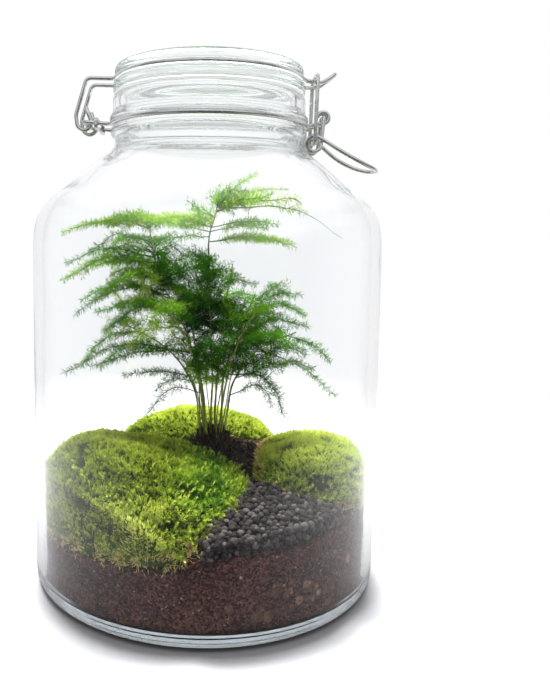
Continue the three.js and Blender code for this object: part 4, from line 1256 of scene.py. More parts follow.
def make_crown():
    rng = np.random.default_rng(31)
    p, tri, quad = mound_mesh("root_crown", 48, 28, 1.0, 8, 0.6)
    bag = Bag()
    bag.add(p, tri, quad, tint=0.1 + 0.2 * fractal(p / 2.5, 12, 2))

    def ok(m):
        return (m[:, 2] > soil_top(m[:, 0], m[:, 1]) - 1).astype(float)

    # strips of old leaf base and bark, standing up round the stems
    pos, nor = surface_samples(rng, p, tri, quad, 230, ok)
    lengths = rng.uniform(2.0, 6.5, len(pos))
    for b, nrm, ln in zip(pos, nor, lengths):
        d = unit(nrm * 0.45 + np.array([0, 0, 0.75]) + rng.normal(size=3) * 0.35)
        side = unit(np.cross(d, rng.normal(size=3)))
        bend = rng.normal(size=3) * 0.25 * ln
        path = np.array([b - d * 0.8, b + d * ln * 0.5 + bend * 0.3, b + d * ln + bend * 0.6])
        v, t, qd = sweep(path, np.array([0.5, 0.42, 0.12]) * rng.uniform(0.6, 1.3), 4, cap=0)
        bag.add(v, t, qd, tint=rng.uniform(0.0, 0.75))
    # old sheaths standing among the stems
    for _ in range(90):
        a, q = rng.uniform(0, 2 * math.pi), 8.5 * math.sqrt(rng.random())
        b = np.array([4.2 + q * math.cos(a), 5.0 + q * math.sin(a), 0.0])
        b[2] = crown_top(b[0], b[1]) - 1.0
        d = unit(np.array([math.cos(a) * 0.12, math.sin(a) * 0.12, 1.0]) + rng.normal(size=3) * 0.12)
        ln = rng.uniform(5.0, 14.0) * (1 - 0.35 * q / 8.5)
        bend = rng.normal(size=3) * 0.07 * ln
        path = np.array([b, b + d * ln * 0.5 + bend * 0.4, b + d * ln + bend])
        v, t, qd = sweep(path, np.array([0.55, 0.42, 0.1]) * rng.uniform(0.7, 1.3), 4, cap=0)
        bag.add(v, t, qd, tint=rng.uniform(0.0, 0.5))
    # chips of bark and peat lying round the crown and between the mounds
    m = 620
    a = rng.uniform(0, 2 * math.pi, m)
    r = 9 + 22 * rng.random(m) ** 0.8
    x, y = 6 + r * np.cos(a), 0 + r * np.sin(a) * 0.95
    z = soil_top(x, y) + rng.uniform(0.2, 1.6, m)
    c = np.stack([x, y, z], axis=1)
    for nm in ("moss_front", "moss_right", "moss_back"):
        c = c[~in_mound(c, nm, -1.0)]
    c = c[~in_outline(c[:, 0], c[:, 1], GRAVEL_OUTLINE, -0.04)]
    v, f, who = lumps(rng, c, rng.uniform(0.6, 2.1, len(c)), 0, 0.4, 0.35, 1.3)
    bag.add(v, f, tint=(rng.random(len(c)) ** 2.2 * 0.9)[who])
    bag.make("rootstock", BARK, body="jar", replaces=("root_crown",), slot="crown_bark", smooth=False)


make_crown()

# ------------------------------------------------------------------ fern
STEMS = {
    "stem_centre": [(3.2, 5), (3.6, 4, 112), (1.4, 1, 163), (0.9, 0, 184), (4.7, 0, 200)],
    "stem_tall_left": [(0.5, 4), (-5.5, 3, 112), (-16, 0, 143), (-26, -3, 163), (-30.6, -4, 188)],
    "stem_right": [(8.5, 6), (11.5, 8, 108), (19, 11, 134), (27, 13, 152)],
    "stem_back": [(5.5, 9), (7, 16, 108), (11, 28, 146), (15, 38, 168)],
    "stem_back_left": [(1.5, 9), (-3.5, 16, 106), (-12, 30, 138), (-24, 40, 160)],
    "stem_front_right": [(7.5, 1.5), (11.5, -5, 106), (19, -20, 134), (27, -34, 152)],
    "stem_front_left": [(1.5, 0.5), (-3.5, -7, 106), (-11, -22, 132), (-19, -36, 147)],
    "stem_low_right": [(10.8, 3), (16, 2, 104), (30, -1, 124), (48, -4, 133)],
    "stem_low_left": [(-2.8, 6.5), (-8, 8, 102), (-24, 10, 122), (-44, 11, 134)],
}


# Each frond: the spray it stands for, where it leaves its stem, a point on the way, its tip, half width, how close its
# branchlets stand (mm), tint, bare part at the start and at the tip (shares of its length).
# The tint runs from dark low down to light at the top, partly painted light from above.
FRONDS = [
    # top, right
    ("spray_top", (3.4, 0, 201), (15, 7, 209), (27.5, 13, 216.2), 6, 2.4, 0.66, 0.1, 0.0),
    ("spray_top", (3.4, 0, 202), (22, 4, 206), (43.5, 6, 206.9), 6, 2.6, 0.72, 0.12, 0.0),
    ("spray_top", (3.3, 0, 200), (16, -3, 203), (33, -6, 203.5), 7, 2.4, 0.62, 0.1, 0.0),
    ("spray_top", (3.3, 0, 199), (14, 9, 203), (28, 17, 204), 7, 2.6, 0.6, 0.15, 0.0),
    ("spray_top", (3.3, 0, 200.5), (28, 4, 203), (48.7, 2, 201.8), 4.5, 2.8, 0.9, 0.25, 0.0),
    ("spray_top_right", (3.3, 0, 199.5), (50, 3, 198.8), (73.3, 4, 185.2), 3.2, 2.6, 0.86, 0.45, 0.34),
    ("spray_top", (3.2, 0, 195), (-5, 0, 199), (-11.2, 0, 202.1), 2.5, 2.4, 0.35, 0.15, 0.2),
    ("spray_upper_right", (3.2, 0, 189.5), (20, -2, 192), (37, -4, 191.5), 9, 2.1, 0.45, 0.2, 0.0),
    ("spray_upper_right", (3.2, 0, 188), (18, 10, 191), (33, 18, 190), 9, 2.3, 0.5, 0.2, 0.0),
    ("spray_upper_right", (3.0, 0, 182), (26, -3, 184), (48, -6, 178.2), 9, 2.0, 0.62, 0.12, 0.06),
    ("spray_upper_right", (3.0, 0, 181), (24, 8, 184), (45, 12, 181), 9, 2.1, 0.66, 0.12, 0.0),
    ("spray_mid_back", (3.0, 0, 183), (-10, 6, 184.5), (-23, 12, 183.5), 6, 2.6, 0.4, 0.1, 0.1),
    # upper left
    ("spray_upper_left", (3.2, 0, 188), (-38, -4, 194.6), (-78, -6, 186), 11.5, 1.75, 0.6, 0.1, 0.0),
    ("spray_upper_left", (3.2, 0, 190), (-22, 8, 195), (-55, 17, 191), 9, 2.0, 0.68, 0.2, 0.0),
    ("spray_upper_left", (3.2, 0, 190), (-12, -10, 194.5), (-30, -22, 193), 8, 2.1, 0.72, 0.2, 0.0),
    ("spray_upper_left_back", (-26, -4, 182), (-45, -16, 184), (-60.5, -28, 176.1), 4.5, 2.8, 0.3, 0.1, 0.05),
    ("spray_upper_left_back", (-25, -3, 178), (-40, 16, 184), (-56, 34, 180), 10, 2.2, 0.42, 0.1, 0.0),
    ("spray_upper_left_back", (-24, -3, 176), (-26, 18, 182), (-30, 38, 181), 10, 2.2, 0.4, 0.1, 0.0),
    ("spray_mid_left", (-24, -3, 174), (-50, -12, 176.5), (-73.2, -20, 169.2), 5.0, 2.5, 0.32, 0.08, 0.03),
    ("spray_mid_left", (-22, -3, 169), (-50, -4, 172.5), (-77.9, -8, 160.3), 13, 1.9, 0.56, 0.1, 0.0),
    ("spray_mid_left", (-20, -3, 166), (-42, 10, 171), (-66, 20, 166), 11, 2.1, 0.5, 0.1, 0.0),
    ("spray_mid_left_low", (-18, -2, 160), (-38, -14, 165), (-56, -25, 151), 12, 2.0, 0.46, 0.08, 0.0),
    ("spray_mid_left_low", (-16, -2, 154), (-44, -12, 156), (-69.1, -22, 143.3), 7, 2.3, 0.28, 0.1, 0.04),
    ("spray_mid_left_low", (-15, -2, 152), (-44, 4, 158), (-70, 8, 149), 10, 2.1, 0.4, 0.1, 0.0),
    ("spray_left", (-12, -1, 142), (-34, -14, 147), (-51, -26, 135.8), 12, 2.0, 0.3, 0.08, 0.0),
    ("spray_left", (-10, -1, 136), (-36, 10, 148), (-62, 14, 141), 12, 2.1, 0.38, 0.08, 0.0),
    ("spray_left", (-16, 34, 140), (-34, 36, 146), (-54, 36, 142), 11, 2.3, 0.34, 0.08, 0.0),
    ("spray_low_left", (-8, 1, 122), (-46, -16, 126), (-79.5, -26, 111.5), 7.5, 2.2, 0.26, 0.15, 0.05),
    ("spray_low_left", (-9, 1, 120), (-36, -12, 122), (-61.6, -20, 114.9), 9, 2.2, 0.34, 0.12, 0.0),
    ("spray_low_left", (-40, 10.5, 130), (-58, 12, 126), (-74, 12, 110), 9, 2.4, 0.34, 0.05, 0.05),
    ("spray_low_left", (-30, 10, 119), (-46, 16, 120), (-62, 20, 108), 9, 2.4, 0.3, 0.08, 0.0),
    ("spray_drip_left", (-5, 2, 107), (-26, -9, 112), (-43, -16, 111.8), 7, 2.4, 0.3, 0.15, 0.0),
    ("spray_drip_left", (-4, 2, 104), (-18, -9, 108), (-29.2, -14, 100.6), 6, 2.6, 0.28, 0.2, 0.1),
    ("spray_drip_left", (-3, 3, 99), (-20, -12, 102), (-32.9, -20, 88.8), 4.5, 3.0, 0.26, 0.25, 0.12),
    # right
    ("spray_mid_right", (2.8, 1, 156), (16, 3, 161), (28, 4, 158.4), 6.5, 2.3, 0.34, 0.1, 0.0),
    ("spray_mid_right", (22, 10, 143), (38, 2, 153), (51.6, 0, 152.2), 6.5, 2.2, 0.28, 0.08, 0.04),
    ("spray_mid_right", (24, 12, 148), (38, 18, 156), (50, 24, 150), 10, 2.2, 0.36, 0.08, 0.0),
    ("spray_right", (18, 9, 126), (36, 0, 139), (54.0, -4, 135.8), 10, 2.0, 0.3, 0.1, 0.0),
    ("spray_right", (20, 10, 134), (38, 14, 146), (56, 18, 140), 11, 2.1, 0.34, 0.08, 0.0),
    ("spray_right", (18, -20, 126), (34, -26, 134), (50, -30, 126), 10, 2.1, 0.32, 0.08, 0.0),
    ("spray_low_right", (30, -0.5, 112), (44, -5, 125), (53.5, -8, 120.6), 9, 2.0, 0.3, 0.1, 0.0),
    ("spray_low_right", (26, 0.4, 106), (44, -7, 117), (56.8, -10, 113.3), 8.5, 2.0, 0.32, 0.1, 0.0),
    ("spray_low_right", (36, -1.5, 121), (52, -2, 113), (72.1, -6, 98.3), 3.6, 2.6, 0.36, 0.3, 0.04),
    ("spray_low_right", (44, -3, 130), (58, 4, 126), (70, 8, 114), 8, 2.4, 0.3, 0.05, 0.0),
    ("spray_drip_right", (15, -13, 110), (32, -9, 108), (43.3, -8, 85.7), 8, 2.3, 0.28, 0.15, 0.05),
    ("spray_drip_right", (20, 1.2, 97), (30, -4, 104), (37, -8, 93), 7, 2.4, 0.3, 0.2, 0.0),
]


# Where the foliage is thick: centre x, z; half sizes; from y to y; fronds; half width; tint; bare part
# The tint column paints shade: the masses in the thick core (tint 0.07 to 0.22) are much darker than the outer and
# upper ones.
MASSES = [
    (-38, 190.5, 26, 2.5, -16, 14, 11, 7.0, 0.60, 0.3),
    (-8, 191.5, 10, 3.0, -12, 14, 6, 7.0, 0.55, 0.2),
    (-46, 172, 16, 4.0, -20, 20, 6, 7.0, 0.54, 0.2),
    (-42, 158, 18, 8.5, -24, 22, 11, 8.5, 0.78, 0.25),
    (-13, 163, 17, 11.5, -16, 22, 32, 9.0, 0.22, 0.08),
    (-24, 149, 14, 8.0, -26, 8, 8, 8.5, 0.55, 0.15),
    (4, 160, 12, 8.0, -12, 20, 10, 8.0, 0.36, 0.05),
    (1, 140, 17, 11.5, -8, 26, 50, 9.0, 0.07, 0.03),
    (4, 150, 12, 8.0, -24, -4, 7, 8.0, 0.38, 0.1),
    (-36, 131, 22, 10.0, -26, 22, 13, 8.5, 0.74, 0.2),
    (8, 119, 24, 12.0, -26, 24, 36, 9.0, 0.22, 0.08),
    (2, 112, 13, 6.0, -28, -10, 9, 8.0, 0.56, 0.1),
    (27, 134, 16, 15.0, -20, 26, 26, 8.5, 0.38, 0.12),
    (34, 120, 13, 10.0, -22, 14, 10, 8.0, 0.38, 0.2),
    (14, 202, 11, 6.0, -6, 12, 8, 7.0, 0.50, 0.1),
]


def make_fern():
    rng = np.random.default_rng(77)
    stems = {}
    for name, pts in STEMS.items():
        foot = (pts[0][0], pts[0][1], crown_top(*pts[0]) - 1.2)
        path = catmull([foot] + list(pts[1:]), 46)
        wig = np.stack([noise(np.stack([path[:, 2] / 13, np.full(len(path), i * 7.7), np.full(len(path), len(name))], axis=1), 60 + i)
                        for i in range(2)], axis=1)
        fade = np.minimum(np.linspace(0, 1, len(path)) * 5, 1)[:, None]
        path[:, :2] += wig * 0.55 * fade
        stems[name] = path
        s = np.linspace(0, 1, len(path))
        rad = 0.66 - 0.34 * s
        knots = 0.16 * np.exp(-((np.mod(s * 9.0, 1) - 0.5) / 0.08) ** 2)
        v, t, q = sweep(path, rad * (1 + knots), 7, cap=0.6)
        bag = Bag()
        ring_t = np.clip(0.62 + 0.25 * np.sin(s * 9 + len(name)) - 0.55 * s, 0.2, 1)
        tint = np.concatenate([np.repeat(np.concatenate([[ring_t[0]], ring_t, [ring_t[-1]]])[:, None], 7, axis=1).ravel(),
                               [ring_t[0], ring_t[-1]]])
        if len(tint) != len(v):
            tint = np.full(len(v), 0.5)
        bag.add(v, t, q, tint=tint)
        # a papery brown scale at each joint
        for k in range(1, 9):
            i = int((k - 0.5) / 9 * (len(path) - 1)) + 1
            if s[i] > 0.9:
                continue
            d = unit(path[i + 1] - path[i])
            out = unit(np.cross(d, rng.normal(size=3)))
            b = path[i] + out * rad[i] * 0.9
            wide = np.cross(d, out)
            scale = np.array([b - wide * 0.3, b + wide * 0.3, b + d * 1.5 + out * 0.35, b + d * 0.5 + out * 0.25])
            bag.add(scale, [[0, 1, 3], [1, 2, 3], [2, 0, 3], [0, 2, 1]], tint=0.05)
        bag.make("fern_" + name, FERN_STEM, body="jar", replaces=(name,), slot="fern_stem", smooth=True)

    # thinner young stems between them
    bag = Bag()
    for i, pts in enumerate(([(-0.8, 1.8), (-3.2, -1.5, 98), (-7, -7, 126)], [(6.0, -1.0), (8.2, -6, 100), (12, -12, 128)],
                             [(9.4, 5.6), (13.2, 6.5, 98), (21, 8, 125)], [(2.6, 7.6), (1.2, 8.5, 100), (-5, 13, 131)],
                             [(5.8, 3.2), (6.2, 1.2, 99), (9.0, -1.5, 128)], [(-1.4, 4.6), (-5.0, 3.6, 96), (-14, 2, 122)])):
        path = catmull([(pts[0][0], pts[0][1], crown_top(*pts[0]) - 1.2)] + list(pts[1:]), 40)
        path[:, 0] += 0.5 * np.sin(path[:, 2] / 5.5 + i * 1.9)
        path[:, 1] += 0.4 * np.cos(path[:, 2] / 6.5 + i * 2.7)
        v, t, q = sweep(path, np.linspace(0.44, 0.22, len(path)), 6, cap=0)
        bag.add(v, t, q, tint=0.22 + 0.09 * (i % 4))
    bag.make("fern_young_stems", FERN_STEM, body="jar", slot="fern_stem", smooth=True)

    all_stems = np.concatenate([p[4:] for p in stems.values()])

    # Fronds between the drawn ones, all round each stem, to fill the plant.
    fronds = list(FRONDS)
    spray_at = np.array([(f[2][0], f[2][1], f[2][2]) for f in fronds])
    spray_of = [f[0] for f in fronds]
    inner_sprays = (("spray_mid_centre", 173.0), ("spray_heart", 152.0), ("spray_heart_low", 134.0), ("spray_skirt", 117.0))
    spray_at = np.concatenate([spray_at, [(4.0, 0.0, z) for _, z in inner_sprays]])
    spray_of += [name for name, _ in inner_sprays]
    paths = list(stems.values())
    for cx, cz, ax, az, y0, y1, count, wide, tint, bare in MASSES:
        for k in range(count):
            a = k * GOLD + cx
            r = math.sqrt((k + 0.5) / count)
            tip = np.array([cx + ax * r * math.cos(a), rng.uniform(y0, y1), cz + az * r * math.sin(a)])
            # it leaves the stem that passes nearest, a little lower than its tip
            best = None
            for path in paths:
                low = path[path[:, 2] > 92.0]
                reach = np.linalg.norm((low - tip) * (1, 1, 1.6), axis=1) + np.abs(np.hypot(low[:, 0] - tip[0], low[:, 1] - tip[1]) - 22)
                j = int(np.argmin(reach))
                if best is None or reach[j] < best[0]:
                    best = (reach[j], low[j])
            b = best[1]
            mid = (b + tip) / 2 + np.array([0, 0, rng.uniform(1, 5)])
            near = spray_of[int(np.argmin(((spray_at - mid) ** 2 * (1, 1, 3)).sum(1)))]
            fronds.append((near, tuple(b), tuple(mid), tuple(tip), wide * rng.uniform(0.85, 1.15), 2.5,
                           tint + rng.normal(0, 0.09), bare, 0.0))

    groups = {}
    totals = 0
    for fi, (spray, base, mid, tip, hw, gap, tint, bare0, bare1) in enumerate(fronds):
        bag = groups.setdefault(spray, Bag())
        base, mid, tip = (np.array(p, dtype=np.float64) for p in (base, mid, tip))
        gap_to = np.linalg.norm(all_stems - base, axis=1) + 0.9 * np.maximum(all_stems[:, 2] - base[2], 0)
        base = all_stems[int(np.argmin(gap_to))].copy()
        # no frond reaches into the glass
        for p in (mid, tip):
            lim = 80.0 if p[2] < 190 else 70.0 - (p[2] - 205) * 0.9
            r = math.hypot(p[0], p[1])
            if r > lim:
                p[:2] *= lim / r
        path = catmull([base, mid, tip], 40)
        u = np.linspace(0, 1, len(path))
        wob = rng.uniform(-30, 30, 3)
        jit = np.stack([noise(np.stack([u * 5 + wob[k], u * 0 + k, u * 0], axis=1), 200 + fi) for k in range(3)], axis=1)
        path = path + jit * (0.9 * np.minimum(u * 4, 1))[:, None]
        length = np.linalg.norm(np.diff(path, axis=0), axis=1).sum()
        v, t, q = sweep(path[::2], (0.30 - 0.2 * u)[::2], 4, cap=0)
        bag.add(v, t, q, tint=np.clip(tint * 0.6 + 0.02, 0, 1))
        tangent = unit(np.gradient(path, axis=0))
        side = unit(np.cross(tangent, (0, 0, 1.0)))
        loose = fi >= len(FRONDS)
        bank = rng.uniform(-0.85, 0.85) if loose else rng.uniform(-0.25, 0.25)
        side = unit(side * math.cos(bank) + np.cross(side, tangent) * math.sin(bank))
        up = np.cross(side, tangent)
        # branchlets, two ranks
        k = max(4, int(length * (1 - bare0 - bare1) / gap))
        at = bare0 + (1 - bare0 - bare1) * (np.arange(2 * k) + 0.5) / (2 * k)
        at = np.clip(at + rng.uniform(-0.25, 0.25, len(at)) / (2 * k), 0, 0.995)
        sgn = np.where(np.arange(2 * k) % 2, 1.0, -1.0)
        rel = (at - bare0) / (1 - bare0 - bare1)
        shape = np.minimum((rel + 0.04) / 0.22, 1) ** 0.7 * np.clip((1.03 - rel) / 0.62, 0.06, 1) ** 0.85
        L = hw * shape * rng.uniform(0.72, 1.14, len(at))
        ix = at * (len(path) - 1)
        i0 = np.minimum(ix.astype(int), len(path) - 2)
        fr = (ix - i0)[:, None]
        P = path[i0] * (1 - fr) + path[i0 + 1] * fr
        T, S, U = tangent[i0], side[i0], up[i0]
        ang = np.radians(60 - 22 * rel + rng.uniform(-7, 7, len(at)))
        D = unit(T * np.cos(ang)[:, None] + S * (sgn * np.sin(ang))[:, None] + U * (rng.uniform(-0.5, 0.6, len(at)) if loose else rng.uniform(-0.18, 0.22, len(at)))[:, None])
        w = np.array([0, 0.5, 1.0])
        bl = (P[:, None, :] + D[:, None, :] * (L[:, None] * w)[..., None]
              + T[:, None, :] * (0.16 * L[:, None] * w ** 2)[..., None]
              - np.array([0, 0, 1.0]) * (0.07 * L[:, None] * w ** 2)[..., None])
        N = len(at)
        e1 = unit(np.cross(D, U + 1e-3))
        e2 = np.cross(D, e1)
        a3 = np.arange(3) * 2 * math.pi / 3
        rad = 0.15 * np.array([1, 0.75, 0.3])
        ringv = (bl[:, :, None, :] + rad[None, :, None, None] * (np.cos(a3)[None, None, :, None] * e1[:, None, None, :]
                                                                  + np.sin(a3)[None, None, :, None] * e2[:, None, None, :]))
        rv = ringv.reshape(-1, 3)
        i = np.arange(N)[:, None, None] * 9 + np.arange(2)[None, :, None] * 3
        j = np.arange(3)[None, None, :]
        quad = np.stack([i + j, i + (j + 1) % 3, i + 3 + (j + 1) % 3, i + 3 + j], axis=-1).reshape(-1, 4)
        ends = np.arange(N)[:, None] * 9
        tris = np.concatenate([ends + np.array([[6, 7, 8]]), ends + np.array([[2, 1, 0]])])
        bag.add(rv, tris, quad, tint=np.clip(tint * 0.8 + 0.03, 0, 1))
        # needles in bunches along branchlets and axis
        starts, dirs, sides_, ups_, sc = [], [], [], [], []
        for n_i in range(N):
            m = max(2, int(L[n_i] / 1.08))
            ww = (np.arange(m) + 0.7) / m
            q0 = P[n_i] + D[n_i] * (L[n_i] * ww)[:, None] + T[n_i] * (0.16 * L[n_i] * ww ** 2)[:, None]
            q0[:, 2] -= 0.07 * L[n_i] * ww ** 2
            starts.append(q0)
            dirs.append(np.repeat(unit(D[n_i] + 0.2 * T[n_i])[None], m, 0))
            sides_.append(np.repeat(np.cross(U[n_i], D[n_i])[None], m, 0))
            ups_.append(np.repeat(U[n_i][None], m, 0))
            sc.append(1.0 - 0.35 * ww ** 2)
        m = int(length * (1 - bare0) / 1.3)
        ww = bare0 + (1 - bare0) * (np.arange(m) + 0.5) / m
        if bare1 > 0.2:
            ww = ww[ww < 1 - bare1]
        ii = np.minimum((ww * (len(path) - 1)).astype(int), len(path) - 1)
        starts.append(path[ii]); dirs.append(tangent[ii]); sides_.append(side[ii]); ups_.append(up[ii])
        sc.append(np.full(len(ww), 0.9))
        starts, dirs, sides_, ups_, sc = (np.concatenate(a) for a in (starts, dirs, sides_, ups_, sc))
        per = 3
        M = len(starts) * per
        st = np.repeat(starts, per, 0) + rng.normal(0, 0.10, (M, 3))
        dd, ss, uu = (np.repeat(a, per, 0) for a in (dirs, unit(sides_), ups_))
        phi = rng.uniform(0, 2 * math.pi, M)
        nd = unit(dd * rng.uniform(0.15, 0.75, M)[:, None] + ss * (0.85 * np.cos(phi))[:, None] + uu * (0.95 * np.sin(phi))[:, None])
        nl = rng.uniform(2.5, 4.5, M) * np.repeat(sc, per)
        f1 = unit(np.cross(nd, rng.normal(size=(M, 3))))
        f2 = np.cross(nd, f1)
        wdt = 0.15
        mid_p = st + nd * (nl * 0.45)[:, None]
        tip_p = st + nd * nl[:, None] + f2 * (nl * 0.05)[:, None]
        b1 = mid_p + f1 * wdt + f2 * (wdt * 0.5)
        b2 = mid_p - f1 * wdt + f2 * (wdt * 0.5)
        nv = np.stack([st, b1, b2, tip_p], axis=1).reshape(-1, 3)
        o = np.arange(M)[:, None] * 4
        nt = np.concatenate([o + np.array([[0, 3, 1]]), o + np.array([[0, 2, 3]])])
        tn = tint + rng.normal(0, 0.08, M)
        tn = np.repeat(np.clip(tn, 0.02, 1), 4) + np.tile([-0.06, 0.0, 0.0, 0.08], M)
        bag.add(nv, nt, tint=np.clip(tn, 0, 1))
        totals += M
    tris_total = 0
    for spray, bag in groups.items():
        bag.v = [press_in(v) for v in bag.v]
        ob = bag.make("fern_" + spray, FERN, body="jar", replaces=(spray,), slot="fern_leaf", smooth=True)
        tris_total += sum(len(t) for t in bag.tri) + 2 * sum(len(q) for q in bag.quad)
    print("needles", totals, "fern triangles", tris_total, "groups", len(groups))
    return groups


def press_in(v):
    """Keeps growth off the glass."""
    z = v[:, 2]
    limit = np.interp(z, [0, 182, 190, 196, 202, 214, 221, 226, 232], [85.8, 84.6, 82.6, 78.5, 71.5, 58, 49, 44, 42])
    r = np.hypot(v[:, 0], v[:, 1])
    v = v.copy()
    v[:, :2] *= np.minimum(1.0, limit / np.maximum(r, 1e-6))[:, None]
    return v


fern_groups = make_fern()


# ------------------------------------------------------------------ studio
def make_studio():
    scene = bpy.context.scene
    scene.view_settings.view_transform = "Standard"
    scene.view_settings.look = "None"
    scene.cycles.max_bounces = 40
    scene.cycles.diffuse_bounces = 5
    scene.cycles.glossy_bounces = 32
    scene.cycles.transmission_bounces = 32
    scene.cycles.transparent_max_bounces = 24
    scene.cycles.caustics_reflective = False
    scene.cycles.caustics_refractive = True
    scene.cycles.sample_clamp_indirect = 6.0

    g = Graph("floor_paper")
    n = g.noise(300.0, 4.0)
    colour = g.ramp(n, [(0.3, (0.285, 0.28, 0.29)), (0.7, (0.295, 0.29, 0.30))])
    pale = g.node("ShaderNodeBsdfDiffuse", Color=colour)
    path = g.node("ShaderNodeLightPath")
    # Seen in reflections, the floor in front of the jar is painted dark, as if a photographer's black cloth lay there.
    place = g.node("ShaderNodeSeparateXYZ", Vector=g.coords())
    side = g.math("MULTIPLY", g.math("ABSOLUTE", place.outputs[0], 0.0), 0.9)
    forward = g.math("ADD", g.math("ADD", place.outputs[1], side), 0.25)
    reflected_floor_painted_dark = g.ramp(forward, [(0.1, (0.02, 0.02, 0.021)), (0.5, (0.2, 0.2, 0.203))])
    dim = g.node("ShaderNodeBsdfDiffuse", Color=reflected_floor_painted_dark)
    both = g.node("ShaderNodeMixShader")
    g.put(both, "0", g.math("GREATER_THAN", path.outputs["Glossy Depth"], 0.5))
    g.put(both, "1", pale)
    g.put(both, "2", dim)
    far = g.node("ShaderNodeVectorMath")
    far.operation = "LENGTH"
    g.put(far, "0", g.coords())
    gone = g.ramp(far.outputs["Value"], [(0.26, (0.0, 0.0, 0.0)), (0.58, (1.0, 1.0, 1.0))])
    edge = g.node("ShaderNodeMixShader")
    g.put(edge, "0", gone)
    g.put(edge, "1", both)
    g.put(edge, "2", g.node("ShaderNodeBsdfTransparent", Color=(1.0, 1.0, 1.0, 1.0)))
    mat = g.finish(edge)
    me = bpy.data.meshes.new("floor")
    n_edge, reach, z = 96, 0.62, -0.00004
    rim = [(reach * math.cos(2 * math.pi * k / n_edge), reach * math.sin(2 * math.pi * k / n_edge), z) for k in range(n_edge)]
    me.from_pydata(rim, [], [tuple(range(n_edge))])
    me.materials.append(mat)
    floor = bpy.data.objects.new("floor", me)
    scene.collection.objects.link(floor)

    world = bpy.data.worlds.new("studio")
    world.use_nodes = True
    nt = world.node_tree
    nt.nodes.clear()
    out = nt.nodes.new("ShaderNodeOutputWorld")
    co = nt.nodes.new("ShaderNodeTexCoord")
    sep = nt.nodes.new("ShaderNodeSeparateXYZ")
    nt.links.new(co.outputs["Generated"], sep.inputs[0])
    ramp = nt.nodes.new("ShaderNodeValToRGB")
    el = ramp.color_ramp.elements
    stops = [(0.0, 1.1), (0.5, 1.1), (0.58, 1.09), (0.68, 1.04), (0.77, 0.6), (0.9, 0.55), (1.0, 1.1)]
    while len(el) < len(stops):
        el.new(0.5)
    for e, (pos, val) in zip(el, stops):
        e.position = pos
        e.color = (val, val, val * 1.01, 1)
    half = nt.nodes.new("ShaderNodeMath")
    half.operation = "MULTIPLY_ADD"
    half.inputs[1].default_value = 0.5
    half.inputs[2].default_value = 0.5
    nt.links.new(sep.outputs[2], half.inputs[0])
    nt.links.new(half.outputs[0], ramp.inputs[0])
    az = nt.nodes.new("ShaderNodeMath")
    az.operation = "ARCTAN2"
    nt.links.new(sep.outputs[1], az.inputs[0])
    nt.links.new(sep.outputs[0], az.inputs[1])
    four = nt.nodes.new("ShaderNodeMath")
    four.operation = "MULTIPLY"
    four.inputs[1].default_value = 4.0
    nt.links.new(az.outputs[0], four.inputs[0])
    cos = nt.nodes.new("ShaderNodeMath")
    cos.operation = "COSINE"
    nt.links.new(four.outputs[0], cos.inputs[0])
    amp = nt.nodes.new("ShaderNodeMath")
    amp.operation = "MULTIPLY_ADD"
    amp.inputs[1].default_value = 0.04
    amp.inputs[2].default_value = 0.96
    nt.links.new(cos.outputs[0], amp.inputs[0])
    mul = nt.nodes.new("ShaderNodeVectorMath")
    mul.operation = "SCALE"
    nt.links.new(ramp.outputs[0], mul.inputs[0])
    nt.links.new(amp.outputs[0], mul.inputs["Scale"])
    def math_node(op, x, y, clamp=False):
        n = nt.nodes.new("ShaderNodeMath")
        n.operation = op
        n.use_clamp = clamp
        for i, val in enumerate((x, y)):
            if isinstance(val, bpy.types.NodeSocket):
                nt.links.new(val, n.inputs[i])
            else:
                n.inputs[i].default_value = val
        return n.outputs[0]

    path = nt.nodes.new("ShaderNodeLightPath")

    def backdrop(colour, strength):
        n = nt.nodes.new("ShaderNodeBackground")
        if isinstance(colour, bpy.types.NodeSocket):
            nt.links.new(colour, n.inputs["Color"])
        else:
            n.inputs["Color"].default_value = colour
        if isinstance(strength, bpy.types.NodeSocket):
            nt.links.new(strength, n.inputs["Strength"])
        else:
            n.inputs["Strength"].default_value = strength
        return n.outputs[0]

    def choose(fac, a, b):
        n = nt.nodes.new("ShaderNodeMixShader")
        nt.links.new(fac, n.inputs[0])
        nt.links.new(a, n.inputs[1])
        nt.links.new(b, n.inputs[2])
        return n.outputs[0]

    # What the glass and wire mirror: a dim room in front, brighter walls behind, a soft box overhead.
    ahead = math_node("MULTIPLY_ADD", sep.outputs[1], 0.5)
    ahead.node.inputs[2].default_value = 0.5
    high = math_node("POWER", math_node("MAXIMUM", sep.outputs[2], 0.0), 3.0)
    front_dark = nt.nodes.new("ShaderNodeMapRange")
    front_dark.interpolation_type = "SMOOTHSTEP"
    nt.links.new(sep.outputs[1], front_dark.inputs["Value"])
    for key, val in (("From Min", -0.4), ("From Max", 0.5), ("To Min", 0.13), ("To Max", 0.93)):
        front_dark.inputs[key].default_value = val
    mirror_level = math_node("ADD", front_dark.outputs["Result"], math_node("MULTIPLY", high, 0.5))
    # straight ahead of the jar the studio is darkest
    band = math_node("ADD", sep.outputs[2], 0.12)
    band = math_node("MULTIPLY", math_node("SUBTRACT", 0.3, math_node("ABSOLUTE", band, 0.0)), 8.0, True)
    facing = math_node("MULTIPLY", math_node("SUBTRACT", -0.55, sep.outputs[1]), 5.0, True)
    dip = math_node("MULTIPLY", math_node("MULTIPLY", band, facing), 0.8)
    mirror_level = math_node("MULTIPLY", mirror_level, math_node("SUBTRACT", 1.0, dip))
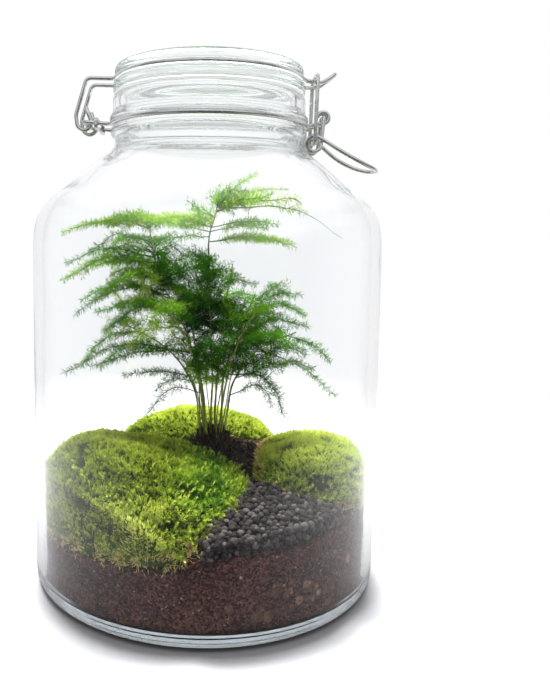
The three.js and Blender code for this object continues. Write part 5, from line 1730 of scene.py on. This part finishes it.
    # a soft box above the camera, too high for the jar's wall to show it
    box_low = math_node("MULTIPLY", math_node("SUBTRACT", sep.outputs[2], 0.07), 7.0, True)
    box_front = math_node("MULTIPLY", math_node("SUBTRACT", -0.3, sep.outputs[1]), 3.0, True)
    mirror_level = math_node("ADD", mirror_level, math_node("MULTIPLY", math_node("MULTIPLY", box_low, box_front), 0.95))
    wide = math_node("MULTIPLY", math_node("SUBTRACT", math_node("ABSOLUTE", sep.outputs[0], 0.0), 0.3), 5.0, True)
    tall = math_node("MULTIPLY", math_node("SUBTRACT", sep.outputs[2], 0.12), 6.0, True)
    card = math_node("SUBTRACT", 1.0, math_node("MULTIPLY", math_node("MULTIPLY", wide, tall), 0.72))
    seen_through = backdrop(mul.outputs[0], card)
    # What lights the plants and the floor: mostly from behind and above, little from the front.
    above = math_node("GREATER_THAN", sep.outputs[2], 0.0)
    light_level = math_node("ADD", math_node("MULTIPLY", math_node("POWER", ahead, 2.0), 2.0),
                            math_node("MULTIPLY", high, 0.6))
    light_level = math_node("ADD", light_level, 0.44)
    lit = nt.nodes.new("ShaderNodeMix")
    nt.links.new(above, lit.inputs[0])
    lit.inputs[2].default_value = 1.1
    nt.links.new(light_level, lit.inputs[3])
    lighting = backdrop((1.0, 1.0, 1.0, 1.0), lit.outputs[0])
    mirrored = backdrop((1, 1, 1, 1), mirror_level)
    plain = backdrop((1, 1, 1, 1), 1.0)
    mix = choose(path.outputs["Is Transmission Ray"], lighting, seen_through)
    turned = math_node("GREATER_THAN", path.outputs["Glossy Depth"], 0.5)
    turned = math_node("MULTIPLY", turned, math_node("MAXIMUM", path.outputs["Is Glossy Ray"], path.outputs["Is Transmission Ray"]))
    mix = choose(turned, mix, mirrored)
    mix = choose(path.outputs["Is Camera Ray"], mix, plain)
    nt.links.new(mix, out.inputs[0])
    scene.world = world

    def area(name, loc, size, power, target=(0, 0, 0.12)):
        data = bpy.data.lights.new(name, "AREA")
        data.shape = "DISK"
        data.size = size
        data.energy = power
        ob = bpy.data.objects.new(name, data)
        ob.location = loc
        ob.rotation_euler = (Vector(target) - Vector(loc)).to_track_quat("-Z", "Y").to_euler()
        scene.collection.objects.link(ob)
        ob.visible_camera = False
        ob.visible_glossy = False
        ob.visible_transmission = False

    area("key", (-0.04, 0.27, 1.32), 0.34, 99.0)


make_studio()
